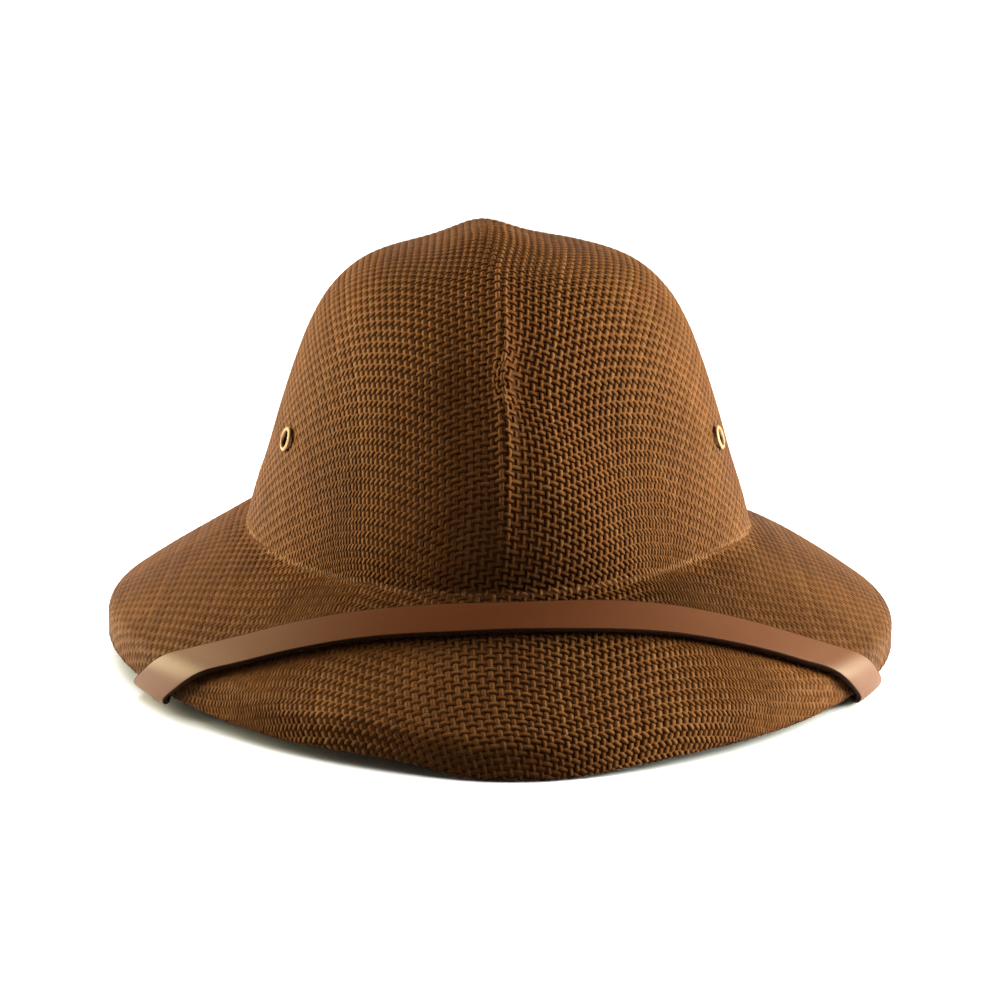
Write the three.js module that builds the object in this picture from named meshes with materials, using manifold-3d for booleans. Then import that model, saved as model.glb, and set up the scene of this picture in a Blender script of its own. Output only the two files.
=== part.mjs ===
// A sun helmet of woven paper straw: one hollow shell with a crown, a sloping brim and a rolled
// rim, a brass vent eyelet in each side, and a leather chin strap worn up over the front of the
// brim. Millimetres, +Z up, origin on the resting surface under the middle of the hat. The front
// faces -Y. Left and right are as seen from the front, so left is -X.

import * as THREE from 'three';
import { mergeVertices } from 'three/addons/utils/BufferGeometryUtils.js';
import Module from 'manifold-3d';

// ---- driving dimensions -------------------------------------------------------------------

const WALL = 2.4;                 // straw shell
const CLEARANCE = 0.3;            // between pieces that touch

// One row for each level of the shell's outer face, from the rim up to the apex.
const LEVELS = [
  { name: 'rim_lip', height: 3.2, halfWidth: 143.7, halfLength: 161.2 },
  { name: 'rim_inner', height: 0.0, halfWidth: 144.0, halfLength: 161.5 },
  { name: 'rim_bottom', height: 0.0, halfWidth: 146.0, halfLength: 163.5 },
  { name: 'rim_edge', height: 2.4, halfWidth: 147.1, halfLength: 164.6 },
  { name: 'knee_low', height: 9.2, halfWidth: 147.5, halfLength: 165.0 },
  { name: 'knee', height: 12.7, halfWidth: 146.0, halfLength: 163.7 },
  { name: 'knee_high', height: 17.7, halfWidth: 140.2, halfLength: 158.2 },
  { name: 'brim_outer', height: 26.2, halfWidth: 128.8, halfLength: 147.2 },
  { name: 'brim_middle', height: 35.6, halfWidth: 115.0, halfLength: 134.0 },
  { name: 'brim_inner', height: 43.1, halfWidth: 102.4, halfLength: 122.0 },
  { name: 'crease_brim', height: 46.3, halfWidth: 96.3, halfLength: 116.4 },
  { name: 'crease', height: 47.8, halfWidth: 94.3, halfLength: 114.4 },
  { name: 'crease_crown', height: 50.2, halfWidth: 93.9, halfLength: 114.1 },
  { name: 'crown_foot', height: 60.0, halfWidth: 91.4, halfLength: 111.8 },
  { name: 'crown_low', height: 75.0, halfWidth: 86.6, halfLength: 106.5 },
  { name: 'crown_waist', height: 92.0, halfWidth: 81.6, halfLength: 100.6 },
  { name: 'crown_middle', height: 109.0, halfWidth: 75.9, halfLength: 93.6 },
  { name: 'crown_high', height: 123.0, halfWidth: 70.2, halfLength: 86.6 },
  { name: 'shoulder', height: 134.4, halfWidth: 63.3, halfLength: 78.0 },
  { name: 'shoulder_top', height: 144.0, halfWidth: 52.8, halfLength: 65.2 },
  { name: 'crown_top', height: 150.0, halfWidth: 36.8, halfLength: 45.6 },
  { name: 'near_apex', height: 153.2, halfWidth: 17.5, halfLength: 22.5 },
  { name: 'apex', height: 154.2, halfWidth: 0.0, halfLength: 0.0 },
];

const RIM_POINT = 0.10;           // how much the brim's plan narrows towards front and back
const RIM_ARCH = 5.55;            // how far the rim lifts at the sides
const RIM_LIFT = 1.75;            // extra lift on the left side, taken off on the right
const REST_HALF_ANGLE = 5.4;      // degrees each side of front and back where the rim lies flat
// Where the rim alone lifts a little more. Angles are degrees from the front, towards +X.
const RIM_WAVES = [
  { angle: -20, spread: 11, lift: 2.6 },
  { angle: 24, spread: 12, lift: 1.1 },
];
const RIM_WAVE_START = 6;         // how soon they set in beside the flat resting places
const BRIM_OFFSET = 1.0;          // of the brim to the right of the crown
const BRIM_POINT = { angle: -2, spread: 14, reach: 2.5 };   // of the visor at the middle
// Where the crease rises or falls, and the heights over which that fades out beside it.
const CREASE_FADE = { brim: 9, crown: 16 };
const CREASE_WAVES = [
  { angle: 48, spread: 34, lift: 4.0 },
  { angle: 115, spread: 25, lift: -3.4 },
  { angle: -112, spread: 30, lift: 2.0 },
];

const KEEL = { height: 4.8, halfSpread: 13.5, lean: -6.0 };   // the crest over the crown's top

// Raised and sunken places on the crown's front, pushed out along -Y. They fade in over the first
// millimetres above the crease.
const RELIEF_FADE = 12;
const FRONT_RELIEF = [
  { name: 'ridge', x: -2.8, z: 115, spreadX: 2.8, spreadZ: 37, push: 3.0 },
  { name: 'ridge_flank', x: -3, z: 115, spreadX: 5.2, spreadZ: 31, push: 2.0 },
  { name: 'left_hollow', x: -17, z: 120, spreadX: 7.7, spreadZ: 18, push: -0.6 },
  { name: 'right_swell', x: 7, z: 106, spreadX: 18.7, spreadZ: 37, push: 1.2 },
  { name: 'left_foot_swell', x: -52, z: 75, spreadX: 13, spreadZ: 36, push: 1.8 },
  { name: 'right_foot_swell', x: 33, z: 69, spreadX: 21.3, spreadZ: 24, push: 0.8 },
  { name: 'right_hollow', x: 40, z: 116, spreadX: 15.7, spreadZ: 25, push: -0.4 },
  { name: 'front_swell', x: -5, z: 86, spreadX: 49, spreadZ: 17, push: 1.1 },
];

const EYELET = {
  angle: 68.5,         // degrees from the front
  level: 14.62,
  hole: 6.0,
  barrel: 6.8,
  flange: 9.2,
  bore: 7.4,           // in the shell
  dish: 0.15,          // how far the curved wall comes towards the inner flange's edge
};

const STRAP = {
  width: 12.7,
  thickness: 1.8,
  off: 1.2,            // its gap to the shell's face
  straightDistance: 25,   // up from the rim's inner edge, from where it runs straight on
  leaveDistance: -9,   // and where it leaves the face, under the brim
  endOff: 0.5,         // how far its flat ends stand off the curved wall
  turnStep: 4,         // degrees between rows over the brim
  downStep: 1.6,       // millimetres between rows round the rim
};
// The strap's middle line over the brim, in plan: a bend round the foot of the crown that runs
// out straight to the rim. y = foot + skew*x + hypot(bend, spread*x) - bend
const STRAP_PLAN = { foot: -125.2, skew: 0.010, bend: 17, spread: 0.349 };
// The loose run from under the rim up to the crown: how far along it, how low it sags under a
// straight line, and how far it has turned from facing down to facing inward.
const STRAP_RUN = [
  { part: 0.25, sag: 3, turned: 0.2 },
  { part: 0.48, sag: 6, turned: 0.5 },
];
// Its end on the wall: the distance past the rivet and how far it stands off.
const STRAP_END = [
  { distance: -24, off: 6.5 },
  { distance: -15, off: 2.5 },
  { distance: -9, off: 0.4 },
  { distance: -5, off: 0 },
  { distance: 0, off: 0 },
  { distance: 8, off: 0 },
];

const RIVET = {
  angle: 104,          // degrees from the front
  level: 12.9,
  head: 9.0,
  crown: 1.6,          // height of the domed head
  shank: 3.4,
  hole: 4.1,           // in the shell and in the strap
  tail: 6.4,
};

const BORE_LENGTH = 14;           // of the cutters for the holes
const AROUND = 68;                // facets round the shell
const ROUND_BORE = 24;            // facets round a hole or an eyelet
const ROUND_RIVET = 20;
const STRAP_PIECES = 80;          // facets along the strap
const STRAP_ACROSS = 6;           // and across it
const FACE_STEP = 0.25;           // levels for each step when the outer face is measured

// ---- materials ----------------------------------------------------------------------------

const straw = new THREE.MeshStandardMaterial({ color: 0x7d5432, roughness: 0.72, metalness: 0 });
const leather = new THREE.MeshStandardMaterial({ color: 0x8c5330, roughness: 0.42, metalness: 0 });
const brass = new THREE.MeshStandardMaterial({ color: 0xdcb884, roughness: 0.3, metalness: 1 });
const rivetBrass = new THREE.MeshStandardMaterial({ color: 0xa9834f, roughness: 0.4, metalness: 1 });

// ---- the shell's outer face ---------------------------------------------------------------

const radians = THREE.MathUtils.degToRad;
const levelNumber = (name) => LEVELS.findIndex((level) => level.name === name);
const APEX = levelNumber('apex');
const CREASE = levelNumber('crease');
const KNEE_LOW = levelNumber('knee_low');

const levelPoint = ({ halfWidth, halfLength, height }) =>
  new THREE.Vector3(halfWidth, halfLength, height);

// The levels joined by a smooth curve, carried one point past the apex so that it stays round.
const mirrored = levelPoint(LEVELS[APEX - 1]).multiply(new THREE.Vector3(-1, -1, 1));
const profile = new THREE.CatmullRomCurve3([...LEVELS.map(levelPoint), mirrored]);

const bell = (distance, spread) => Math.exp(-((distance / spread) ** 2));

// 0 where the rim lies flat at front and back, 1 at the sides.
function sideways(theta) {
  const flat = Math.sin(radians(REST_HALF_ANGLE));
  return Math.max(0, Math.abs(Math.sin(theta)) - flat) / (1 - flat);
}

// How much the waves of a table lift the face at an angle from the front.
const lifted = (waves, angle) =>
  waves.reduce((sum, wave) => sum + wave.lift * bell(angle - wave.angle, wave.spread), 0);

// A point of the outer face: theta turns from the front (-Y) towards +X, level is a row of
// LEVELS or a place between two rows.
function skin(theta, level) {
  const at = profile.getPoint(level / LEVELS.length);
  const foot = LEVELS[CREASE].height;
  const brim = THREE.MathUtils.clamp(
    (at.x - LEVELS[CREASE].halfWidth) / (LEVELS[KNEE_LOW].halfWidth - LEVELS[CREASE].halfWidth), 0, 1);
  const side = Math.sin(theta);
  const ahead = Math.cos(theta);
  const angle = THREE.MathUtils.radToDeg(Math.atan2(side, ahead));
  const x = at.x * side * (1 - RIM_POINT * brim * ahead * ahead) + BRIM_OFFSET * brim;
  let y = -at.y * ahead - BRIM_POINT.reach * brim * bell(angle - BRIM_POINT.angle, BRIM_POINT.spread);
  let z = at.z + (RIM_ARCH - RIM_LIFT * side) * brim * sideways(theta);
  z += lifted(RIM_WAVES, angle) * brim ** 3 * Math.min(sideways(theta) * RIM_WAVE_START, 1);
  z += lifted(CREASE_WAVES, angle)
    * bell(at.z - foot, at.z > foot ? CREASE_FADE.crown : CREASE_FADE.brim);
  if (level > CREASE) {
    const rise = THREE.MathUtils.clamp((at.z - foot) / (LEVELS[APEX].height - foot), 0, 1);
    z += KEEL.height * rise ** 3 * bell(x - KEEL.lean * rise * rise, KEEL.halfSpread);
    if (ahead > 0) {
      const fade = THREE.MathUtils.smoothstep(at.z, foot, foot + RELIEF_FADE) * ahead;
      for (const { x: atX, z: atZ, spreadX, spreadZ, push } of FRONT_RELIEF) {
        y -= push * bell(x - atX, spreadX) * bell(at.z - atZ, spreadZ) * fade;
      }
    }
  }
  return new THREE.Vector3(x, y, z);
}

// The outward direction at a point of the outer face.
function skinNormal(theta, level) {
  if (level > APEX - 0.01) {
    return new THREE.Vector3(0, 0, 1);
  }
  const step = 0.01;
  const round = skin(theta + step, level).sub(skin(theta - step, level));
  const up = skin(theta, level + step).sub(skin(theta, Math.max(level - step, 0)));
  return round.cross(up).normalize();
}

// A point off the outer face by a distance along the outward direction.
const offSkin = (theta, level, distance) =>
  skin(theta, level).addScaledVector(skinNormal(theta, level), distance);

// ---- mesh helpers -------------------------------------------------------------------------

const wasm = await Module();
wasm.setup();

function geometryFrom(points, triangles) {
  const geometry = new THREE.BufferGeometry();
  const coordinates = points.flatMap((point) => point.toArray());
  geometry.setAttribute('position', new THREE.Float32BufferAttribute(coordinates, 3));
  geometry.setIndex(triangles);
  return geometry;
}

// Rings of points joined into one closed skin, closed at both ends by the points first and last.
function closedRings(first, rings, last) {
  const size = rings[0].length;
  const points = [first, ...rings.flat(), last];
  const at = (ring, place) => 1 + ring * size + (place % size);
  const triangles = [];
  for (let place = 0; place < size; place += 1) {
    triangles.push(0, at(0, place), at(0, place + 1));
    for (let ring = 0; ring + 1 < rings.length; ring += 1) {
      triangles.push(at(ring, place), at(ring + 1, place), at(ring + 1, place + 1));
      triangles.push(at(ring, place), at(ring + 1, place + 1), at(ring, place + 1));
    }
    triangles.push(points.length - 1, at(rings.length - 1, place + 1), at(rings.length - 1, place));
  }
  return geometryFrom(points, triangles);
}

function solidOf(geometry) {
  const plain = geometry.clone();
  plain.deleteAttribute('normal');
  plain.deleteAttribute('uv');
  const merged = mergeVertices(plain, 1e-4);
  return new wasm.Manifold(new wasm.Mesh({
    numProp: 3,
    vertProperties: merged.attributes.position.array,
    triVerts: new Uint32Array(merged.index.array),
  }));
}

function geometryOf(solid) {
  const mesh = solid.getMesh();
  const geometry = new THREE.BufferGeometry();
  geometry.setAttribute('position', new THREE.BufferAttribute(new Float32Array(mesh.vertProperties), 3));
  geometry.setIndex(new THREE.BufferAttribute(new Uint32Array(mesh.triVerts), 1));
  geometry.computeVertexNormals();
  return geometry;
}

// Turns the +Z axis of a piece to a direction and moves its origin to a place.
function placing(place, direction) {
  const turn = new THREE.Quaternion().setFromUnitVectors(new THREE.Vector3(0, 0, 1), direction);
  return new THREE.Matrix4().compose(place, turn, new THREE.Vector3(1, 1, 1));
}

function boreThrough(place, direction, diameter) {
  const bore = new THREE.CylinderGeometry(diameter / 2, diameter / 2, BORE_LENGTH, ROUND_BORE);
  bore.rotateX(Math.PI / 2);
  bore.applyMatrix4(placing(place, direction));
  return solidOf(bore);
}

function named(name, geometry, material) {
  const mesh = new THREE.Mesh(geometry, material);
  mesh.name = name;
  return mesh;
}

// ---- straw shell --------------------------------------------------------------------------

function range(from, to, step) {
  const count = Math.round(Math.abs(to - from) / step);
  return Array.from({ length: count + 1 }, (_, index) => from + (to - from) * index / count);
}

function shellGeometry() {
  const angles = range(0, 2 * Math.PI, 2 * Math.PI / AROUND).slice(0, AROUND);
  const ring = (level, distance) => angles.map((theta) => offSkin(theta, level, distance));
  const crownTop = levelNumber('shoulder');
  const outside = [
    ...range(APEX - 0.5, crownTop, 0.5),
    ...range(crownTop - 1, 0, 1),
  ];
  const inside = [
    ...range(KNEE_LOW, crownTop, 1),
    ...range(crownTop + 0.5, APEX - 0.5, 0.5),
  ];
  const rings = [
    ...outside.map((level) => ring(level, 0)),
    ...inside.map((level) => ring(level, -WALL)),
  ];
  return closedRings(skin(0, APEX), rings, offSkin(0, APEX, -WALL));
}

const sides = [{ side: 'left', sign: -1 }, { side: 'right', sign: 1 }];

function strawShell() {
  let shell = solidOf(shellGeometry());
  for (const { sign } of sides) {
    for (const { angle, level, bore } of [EYELET, { ...RIVET, bore: RIVET.hole }]) {
      const theta = sign * radians(angle);
      shell = shell.subtract(boreThrough(skin(theta, level), skinNormal(theta, level), bore));
    }
  }
  return named('straw_shell', geometryOf(shell), straw);
}

// ---- vent eyelets -------------------------------------------------------------------------

// A closed section turned about the bore: a domed flange outside, the barrel through the wall
// and the clinched flange inside.
function eyelet(side, sign) {
  const hole = EYELET.hole / 2;
  const barrel = EYELET.barrel / 2;
  const flange = EYELET.flange / 2;
  const outer = CLEARANCE;
  const inner = -WALL - CLEARANCE - EYELET.dish;
  const section = [
    [hole, inner - 0.35], [hole + 0.35, inner - 0.7], [flange - 0.7, inner - 0.6],
    [flange - 0.5, inner - 0.2], [flange - 0.8, inner], [barrel, inner], [barrel, outer],
    [flange - 0.3, outer], [flange, outer + 0.25], [flange - 0.35, outer + 0.6],
    [barrel + 0.3, outer + 0.9], [hole + 0.4, outer + 0.75], [hole, outer + 0.3],
  ].map(([radius, height]) => new THREE.Vector2(radius, height));
  const geometry = new THREE.LatheGeometry([...section, section[0].clone()], ROUND_BORE);
  geometry.rotateX(Math.PI / 2);
  const theta = sign * radians(EYELET.angle);
  const mesh = named(`eyelet_${side}`, geometryOf(solidOf(geometry)), brass);
  mesh.applyMatrix4(placing(skin(theta, EYELET.level), skinNormal(theta, EYELET.level)));
  return mesh;
}

// ---- chin strap ---------------------------------------------------------------------------

const RIM_INNER = levelNumber('rim_inner');
const RIM_BOTTOM = levelNumber('rim_bottom');
const KNEE = levelNumber('knee');

const down = new THREE.Vector3(0, 0, -1);
const strapOff = STRAP.off + STRAP.thickness / 2;

const strapPlan = (x) => STRAP_PLAN.foot + STRAP_PLAN.skew * x
  + Math.hypot(STRAP_PLAN.bend, STRAP_PLAN.spread * x) - STRAP_PLAN.bend;

// The level at which the strap's middle line crosses the brim at an angle from the front.
function strapLevel(theta) {
  let low = KNEE;
  let high = CREASE;
  for (let pass = 0; pass < 30; pass += 1) {
    const middle = (low + high) / 2;
    const point = skin(theta, middle);
    if (point.y < strapPlan(point.x)) {
      low = middle;
    } else {
      high = middle;
    }
  }
  return (low + high) / 2;
}

// The strap is laid out on the outer face as if it were unrolled: theta round the hat, and a
// distance up the face from the rim's inner edge.
function faceDistance(theta, level) {
  return range(RIM_INNER, level, FACE_STEP).slice(1).reduce((sum, at, index, levels) => {
    const before = index === 0 ? RIM_INNER : levels[index - 1];
    return sum + skin(theta, before).distanceTo(skin(theta, at));
  }, 0);
}

function faceLevel(theta, distance) {
  let left = Math.max(distance, 0);
  let level = RIM_INNER;
  let step = skin(theta, level).distanceTo(skin(theta, level + FACE_STEP));
  while (step < left) {
    left -= step;
    level += FACE_STEP;
    step = skin(theta, level).distanceTo(skin(theta, level + FACE_STEP));
  }
  return level + FACE_STEP * left / step;
}

// Millimetres round the face for each radian of theta.
const roundLength = (theta, level) =>
  skin(theta + 0.01, level).distanceTo(skin(theta - 0.01, level)) / 0.02;

// The strap's middle surface over the outer face. Under the rim it looks down, and past the
// rim's inner edge it runs on level, in under the brim.
function overFace(theta, distance) {
  if (distance <= 0) {
    const rim = skin(theta, RIM_INNER);
    const inward = rim.clone().setZ(0).normalize().negate();
    return { place: rim.addScaledVector(inward, -distance).addScaledVector(down, strapOff), face: down };
  }
  const level = faceLevel(theta, distance);
  const face = skinNormal(theta, Math.max(level, RIM_BOTTOM));
  if (level < RIM_BOTTOM) {
    face.lerp(down, (RIM_BOTTOM - level) / (RIM_BOTTOM - RIM_INNER)).normalize();
  }
  return { place: skin(theta, level).addScaledVector(face, strapOff), face };
}

const strapLines = range(-STRAP.width / 2, STRAP.width / 2, STRAP.width / STRAP_ACROSS);

// One row of points across the strap on the face. The heading is how far it runs round and up.
function rowOnFace({ theta, distance }, heading, sign) {
  const length = roundLength(theta, faceLevel(theta, distance));
  const { x: round, y: up } = heading.clone().normalize().multiplyScalar(sign);
  return strapLines.map((across) => (
    overFace(theta - across * up / length, distance + across * round)));
}

// The middle line on one side: out over the brim, then straight on round the rim.
function middleOnFace(sign) {
  const middle = [];
  let theta = 0;
  let distance = faceDistance(theta, strapLevel(theta));
  while (distance > STRAP.straightDistance) {
    middle.push({ theta, distance });
    theta += sign * radians(STRAP.turnStep);
    distance = faceDistance(theta, strapLevel(theta));
  }
  const before = middle[middle.length - 2];
  ({ theta, distance } = middle.pop());
  const length = roundLength(theta, faceLevel(theta, distance));
  const slant = (theta - before.theta) * length / (before.distance - distance);
  while (distance > STRAP.leaveDistance) {
    middle.push({ theta, distance });
    distance -= STRAP.downStep;
    theta += slant * STRAP.downStep / roundLength(theta, faceLevel(theta, distance));
  }
  return middle;
}

// The hidden run on one side: from under the rim to the inside of the crown, where the strap
// ends flat against the wall.
function hiddenRun({ place: under }, sign) {
  const anchor = sign * radians(RIVET.angle);
  const inward = skinNormal(anchor, RIVET.level).negate();
  const wall = offSkin(anchor, RIVET.level, -WALL - strapOff - STRAP.endOff);
  const run = wall.clone().sub(under);
  const along = run.clone().addScaledVector(inward, -run.dot(inward)).normalize();
  return [
    ...STRAP_RUN.map(({ part, sag, turned }) => ({
      place: under.clone().addScaledVector(run, part).addScaledVector(down, sag),
      face: down.clone().lerp(inward, turned).normalize(),
    })),
    ...STRAP_END.map(({ distance, off }) => ({
      place: wall.clone().addScaledVector(along, distance).addScaledVector(inward, off),
      face: inward,
    })),
  ];
}

// Every row across the strap on one side, from the front to its end.
function strapRows(sign) {
  const middle = middleOnFace(sign);
  const rows = middle.map((station, index) => {
    const before = middle[Math.max(index - 1, 0)];
    const after = middle[Math.min(index + 1, middle.length - 1)];
    const length = roundLength(station.theta, faceLevel(station.theta, station.distance));
    const heading = new THREE.Vector2(
      (after.theta - before.theta) * length, index === 0 ? 0 : after.distance - before.distance);
    return rowOnFace(station, heading, sign);
  });
  const last = rows[rows.length - 1][STRAP_ACROSS / 2];
  const hidden = hiddenRun(last, sign);
  hidden.forEach(({ place, face }, index) => {
    const before = (index === 0 ? last : hidden[index - 1]).place;
    const after = (index + 1 < hidden.length ? hidden[index + 1] : hidden[index]).place;
    const across = face.clone().cross(after.clone().sub(before)).normalize().multiplyScalar(sign);
    const square = after.clone().sub(before).cross(across).normalize().multiplyScalar(sign);
    rows.push(strapLines.map((step) => (
      { place: place.clone().addScaledVector(across, step), face: square })));
  });
  return rows;
}

// A band through rows of places, each with the way that its outer face looks.
function bandGeometry(rows) {
  const curves = strapLines.map((_, line) => ({
    places: new THREE.CatmullRomCurve3(rows.map((row) => row[line].place)),
    faces: new THREE.CatmullRomCurve3(rows.map((row) => row[line].face)),
  }));
  const rings = range(0, 1, 1 / STRAP_PIECES).map((t) => {
    const side = (height) => curves.map(({ places, faces }) => (
      places.getPoint(t).addScaledVector(faces.getPoint(t).normalize(), height)));
    return [...side(STRAP.thickness / 2), ...side(-STRAP.thickness / 2).reverse()];
  });
  const centre = (ring) => ring.reduce((sum, point) => sum.add(point), new THREE.Vector3())
    .divideScalar(ring.length);
  return closedRings(centre(rings[0]), rings, centre(rings[rings.length - 1]));
}

function chinStrap() {
  const rows = [...strapRows(-1).slice(1).reverse(), ...strapRows(1)];
  let band = solidOf(bandGeometry(rows));
  for (const { sign } of sides) {
    const theta = sign * radians(RIVET.angle);
    band = band.subtract(boreThrough(skin(theta, RIVET.level), skinNormal(theta, RIVET.level), RIVET.hole));
  }
  return named('chin_strap', geometryOf(band), leather);
}

// ---- rivets -------------------------------------------------------------------------------

// A plain rivet through the strap's end and the shell: a domed head inside, a small burr outside.
function rivet(side, sign) {
  const shank = RIVET.shank / 2;
  const head = RIVET.head / 2;
  const tail = RIVET.tail / 2;
  const outer = CLEARANCE;
  const inner = -WALL - strapOff - STRAP.endOff - STRAP.thickness / 2 - CLEARANCE;
  const section = [
    [0, inner - RIVET.crown], [head * 0.55, inner - RIVET.crown * 0.8], [head, inner - 0.5], [head, inner],
    [shank, inner], [shank, outer], [tail, outer], [tail, outer + 0.5], [tail * 0.6, outer + 1.1],
    [0, outer + 1.2],
  ].map(([radius, height]) => new THREE.Vector2(radius, height));
  const geometry = new THREE.LatheGeometry(section, ROUND_RIVET);
  geometry.rotateX(Math.PI / 2);
  const theta = sign * radians(RIVET.angle);
  const mesh = named(`strap_rivet_${side}`, geometryOf(solidOf(geometry)), rivetBrass);
  mesh.applyMatrix4(placing(skin(theta, RIVET.level), skinNormal(theta, RIVET.level)));
  return mesh;
}

// ---- the hat ------------------------------------------------------------------------------

const group = new THREE.Group();
group.add(strawShell(), chinStrap());
for (const { side, sign } of sides) {
  group.add(eyelet(side, sign), rivet(side, sign));
}

export default group;
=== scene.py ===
"""Woven straw sun helmet with a leather strap over its brim, on a pale studio floor."""

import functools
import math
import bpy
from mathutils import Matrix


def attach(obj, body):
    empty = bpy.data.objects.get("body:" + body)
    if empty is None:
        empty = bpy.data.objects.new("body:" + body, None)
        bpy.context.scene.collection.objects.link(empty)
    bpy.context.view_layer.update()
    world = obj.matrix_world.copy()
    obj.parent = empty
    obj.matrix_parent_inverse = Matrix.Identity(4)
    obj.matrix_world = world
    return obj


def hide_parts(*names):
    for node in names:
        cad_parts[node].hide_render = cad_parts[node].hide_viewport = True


bl_info = {
    "name": "Straw Sun Helmet",
    "version": (1, 0, 0),
    "blender": (4, 5, 0),
    "location": "3D View > Sidebar > Sun Helmet",
    "description": "Builds a woven straw sun helmet with a chin strap, vent eyelets and rivets",
    "category": "Add Mesh",
}

import bpy
import numpy as np
from mathutils import Matrix

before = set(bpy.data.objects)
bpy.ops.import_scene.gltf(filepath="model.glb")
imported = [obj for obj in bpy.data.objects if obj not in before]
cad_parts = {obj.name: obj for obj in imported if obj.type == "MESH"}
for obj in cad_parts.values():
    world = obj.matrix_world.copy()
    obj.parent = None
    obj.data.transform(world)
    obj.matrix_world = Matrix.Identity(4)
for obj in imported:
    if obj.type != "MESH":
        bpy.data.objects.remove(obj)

# Lengths are in millimetres up to the mesh, angles in degrees. Left and right are as seen from
# the front, which faces -Y.
MM = 0.001

# ---- the outer face ----------------------------------------------------------------------------

# Rows up the face: height, half width and half length.
LEVELS = np.array([
    (3.2, 143.7, 161.2),     # rim lip
    (0.0, 144.0, 161.5),     # rim inner
    (0.0, 146.0, 163.5),     # rim bottom
    (2.4, 147.1, 164.6),     # rim edge
    (9.2, 147.5, 165.0),     # knee low
    (12.7, 146.0, 163.7),    # knee
    (17.7, 140.2, 158.2),    # knee high
    (26.2, 128.8, 147.2),    # brim outer
    (35.6, 115.0, 134.0),    # brim middle
    (43.1, 102.4, 122.0),    # brim inner
    (46.3, 96.3, 116.4),     # crease brim
    (47.8, 94.3, 114.4),     # crease
    (50.2, 93.9, 114.1),     # crease crown
    (60.0, 91.4, 111.8),     # crown foot
    (75.0, 86.6, 106.5),     # crown low
    (92.0, 81.6, 100.6),     # crown waist
    (109.0, 75.9, 93.6),     # crown middle
    (123.0, 70.2, 86.6),     # crown high
    (134.4, 63.3, 78.0),     # shoulder
    (144.0, 52.8, 65.2),     # shoulder top
    (150.0, 36.8, 45.6),     # crown top
    (153.2, 17.5, 22.5),     # near the apex
    (154.2, 0.0, 0.0),       # apex
])
RIM_INNER = 1
RIM_BOTTOM = 2
KNEE_LOW = 4
KNEE = 5
CREASE = 11
APEX = 22
RIM_POINT = 0.10             # how much the plan narrows towards front and back
RIM_ARCH = 5.55              # how far the rim lifts at the sides
RIM_LIFT = 1.75              # extra lift on the left side, taken off on the right
REST_HALF_ANGLE = 5.4        # each side of front and back the rim lies flat
# Where the rim alone lifts a little more: degrees from the front, spread, lift.
RIM_WAVES = [
    (-20, 11, 2.6),
    (24, 12, 1.1),
]
RIM_WAVE_START = 6           # how soon they set in beside the flat resting places
BRIM_OFFSET = 1.0            # of the brim to the right of the crown
BRIM_POINT = {"angle": -2, "spread": 14, "reach": 2.5}   # of the visor at the middle
# Where the crease and the face beside it rise or fall: degrees from the front, spread, rise.
CREASE_WAVES = [
    (48, 34, 4.0),
    (115, 25, -3.4),
    (-112, 30, 2.0),
]
CREASE_FADE = {"brim": 9, "crown": 16}   # heights over which these waves die out
KEEL_HEIGHT = 4.8            # of the crest over the crown's top
KEEL_SPREAD = 13.5
KEEL_LEAN = -6.0             # sideways, from the crown's foot to its top
RELIEF_FADE = 12             # height over which the front's relief starts
# Soft bumps in the crown's front: x, z, their spreads, and how far they stand out.
FRONT_RELIEF = [
    (-2.8, 115, 2.8, 37, 3.0),
    (-3, 115, 5.2, 31, 2.0),
    (-17, 120, 7.7, 18, -0.6),
    (7, 106, 18.7, 37, 1.2),
    (-52, 75, 13, 36, 1.8),
    (33, 69, 21.3, 24, 0.8),
    (40, 116, 15.7, 25, -0.4),
    (-5, 86, 49, 17, 1.1),
]
WALL = 2.4                   # thickness of the solid shell


def through(points, at):
    """Smooth centripetal curve through rows of points, at row numbers that may lie between them."""
    ends = (2 * points[0] - points[1], 2 * points[-1] - points[-2])
    rows = np.concatenate([ends[0][None], points, ends[1][None]])
    at = np.asarray(at, float)
    index = np.clip(np.floor(at).astype(int), 0, len(points) - 2)
    t = (at - index)[..., None]
    before, start, end, after = (rows[index + step] for step in range(4))

    def gap(a, b):
        return np.maximum(np.sum((b - a) ** 2, -1, keepdims=True) ** 0.25, 1e-4)

    first, middle, last = gap(before, start), gap(start, end), gap(end, after)
    leave = ((start - before) / first - (end - before) / (first + middle)
             + (end - start) / middle) * middle
    arrive = ((end - start) / middle - (after - start) / (middle + last)
              + (after - end) / last) * middle
    return ((2 * t ** 3 - 3 * t ** 2 + 1) * start + (t ** 3 - 2 * t ** 2 + t) * leave
            + (3 * t ** 2 - 2 * t ** 3) * end + (t ** 3 - t ** 2) * arrive)


MIRRORED = LEVELS[APEX - 1] * (1, -1, -1)
PROFILE = np.vstack([LEVELS, MIRRORED])


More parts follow.
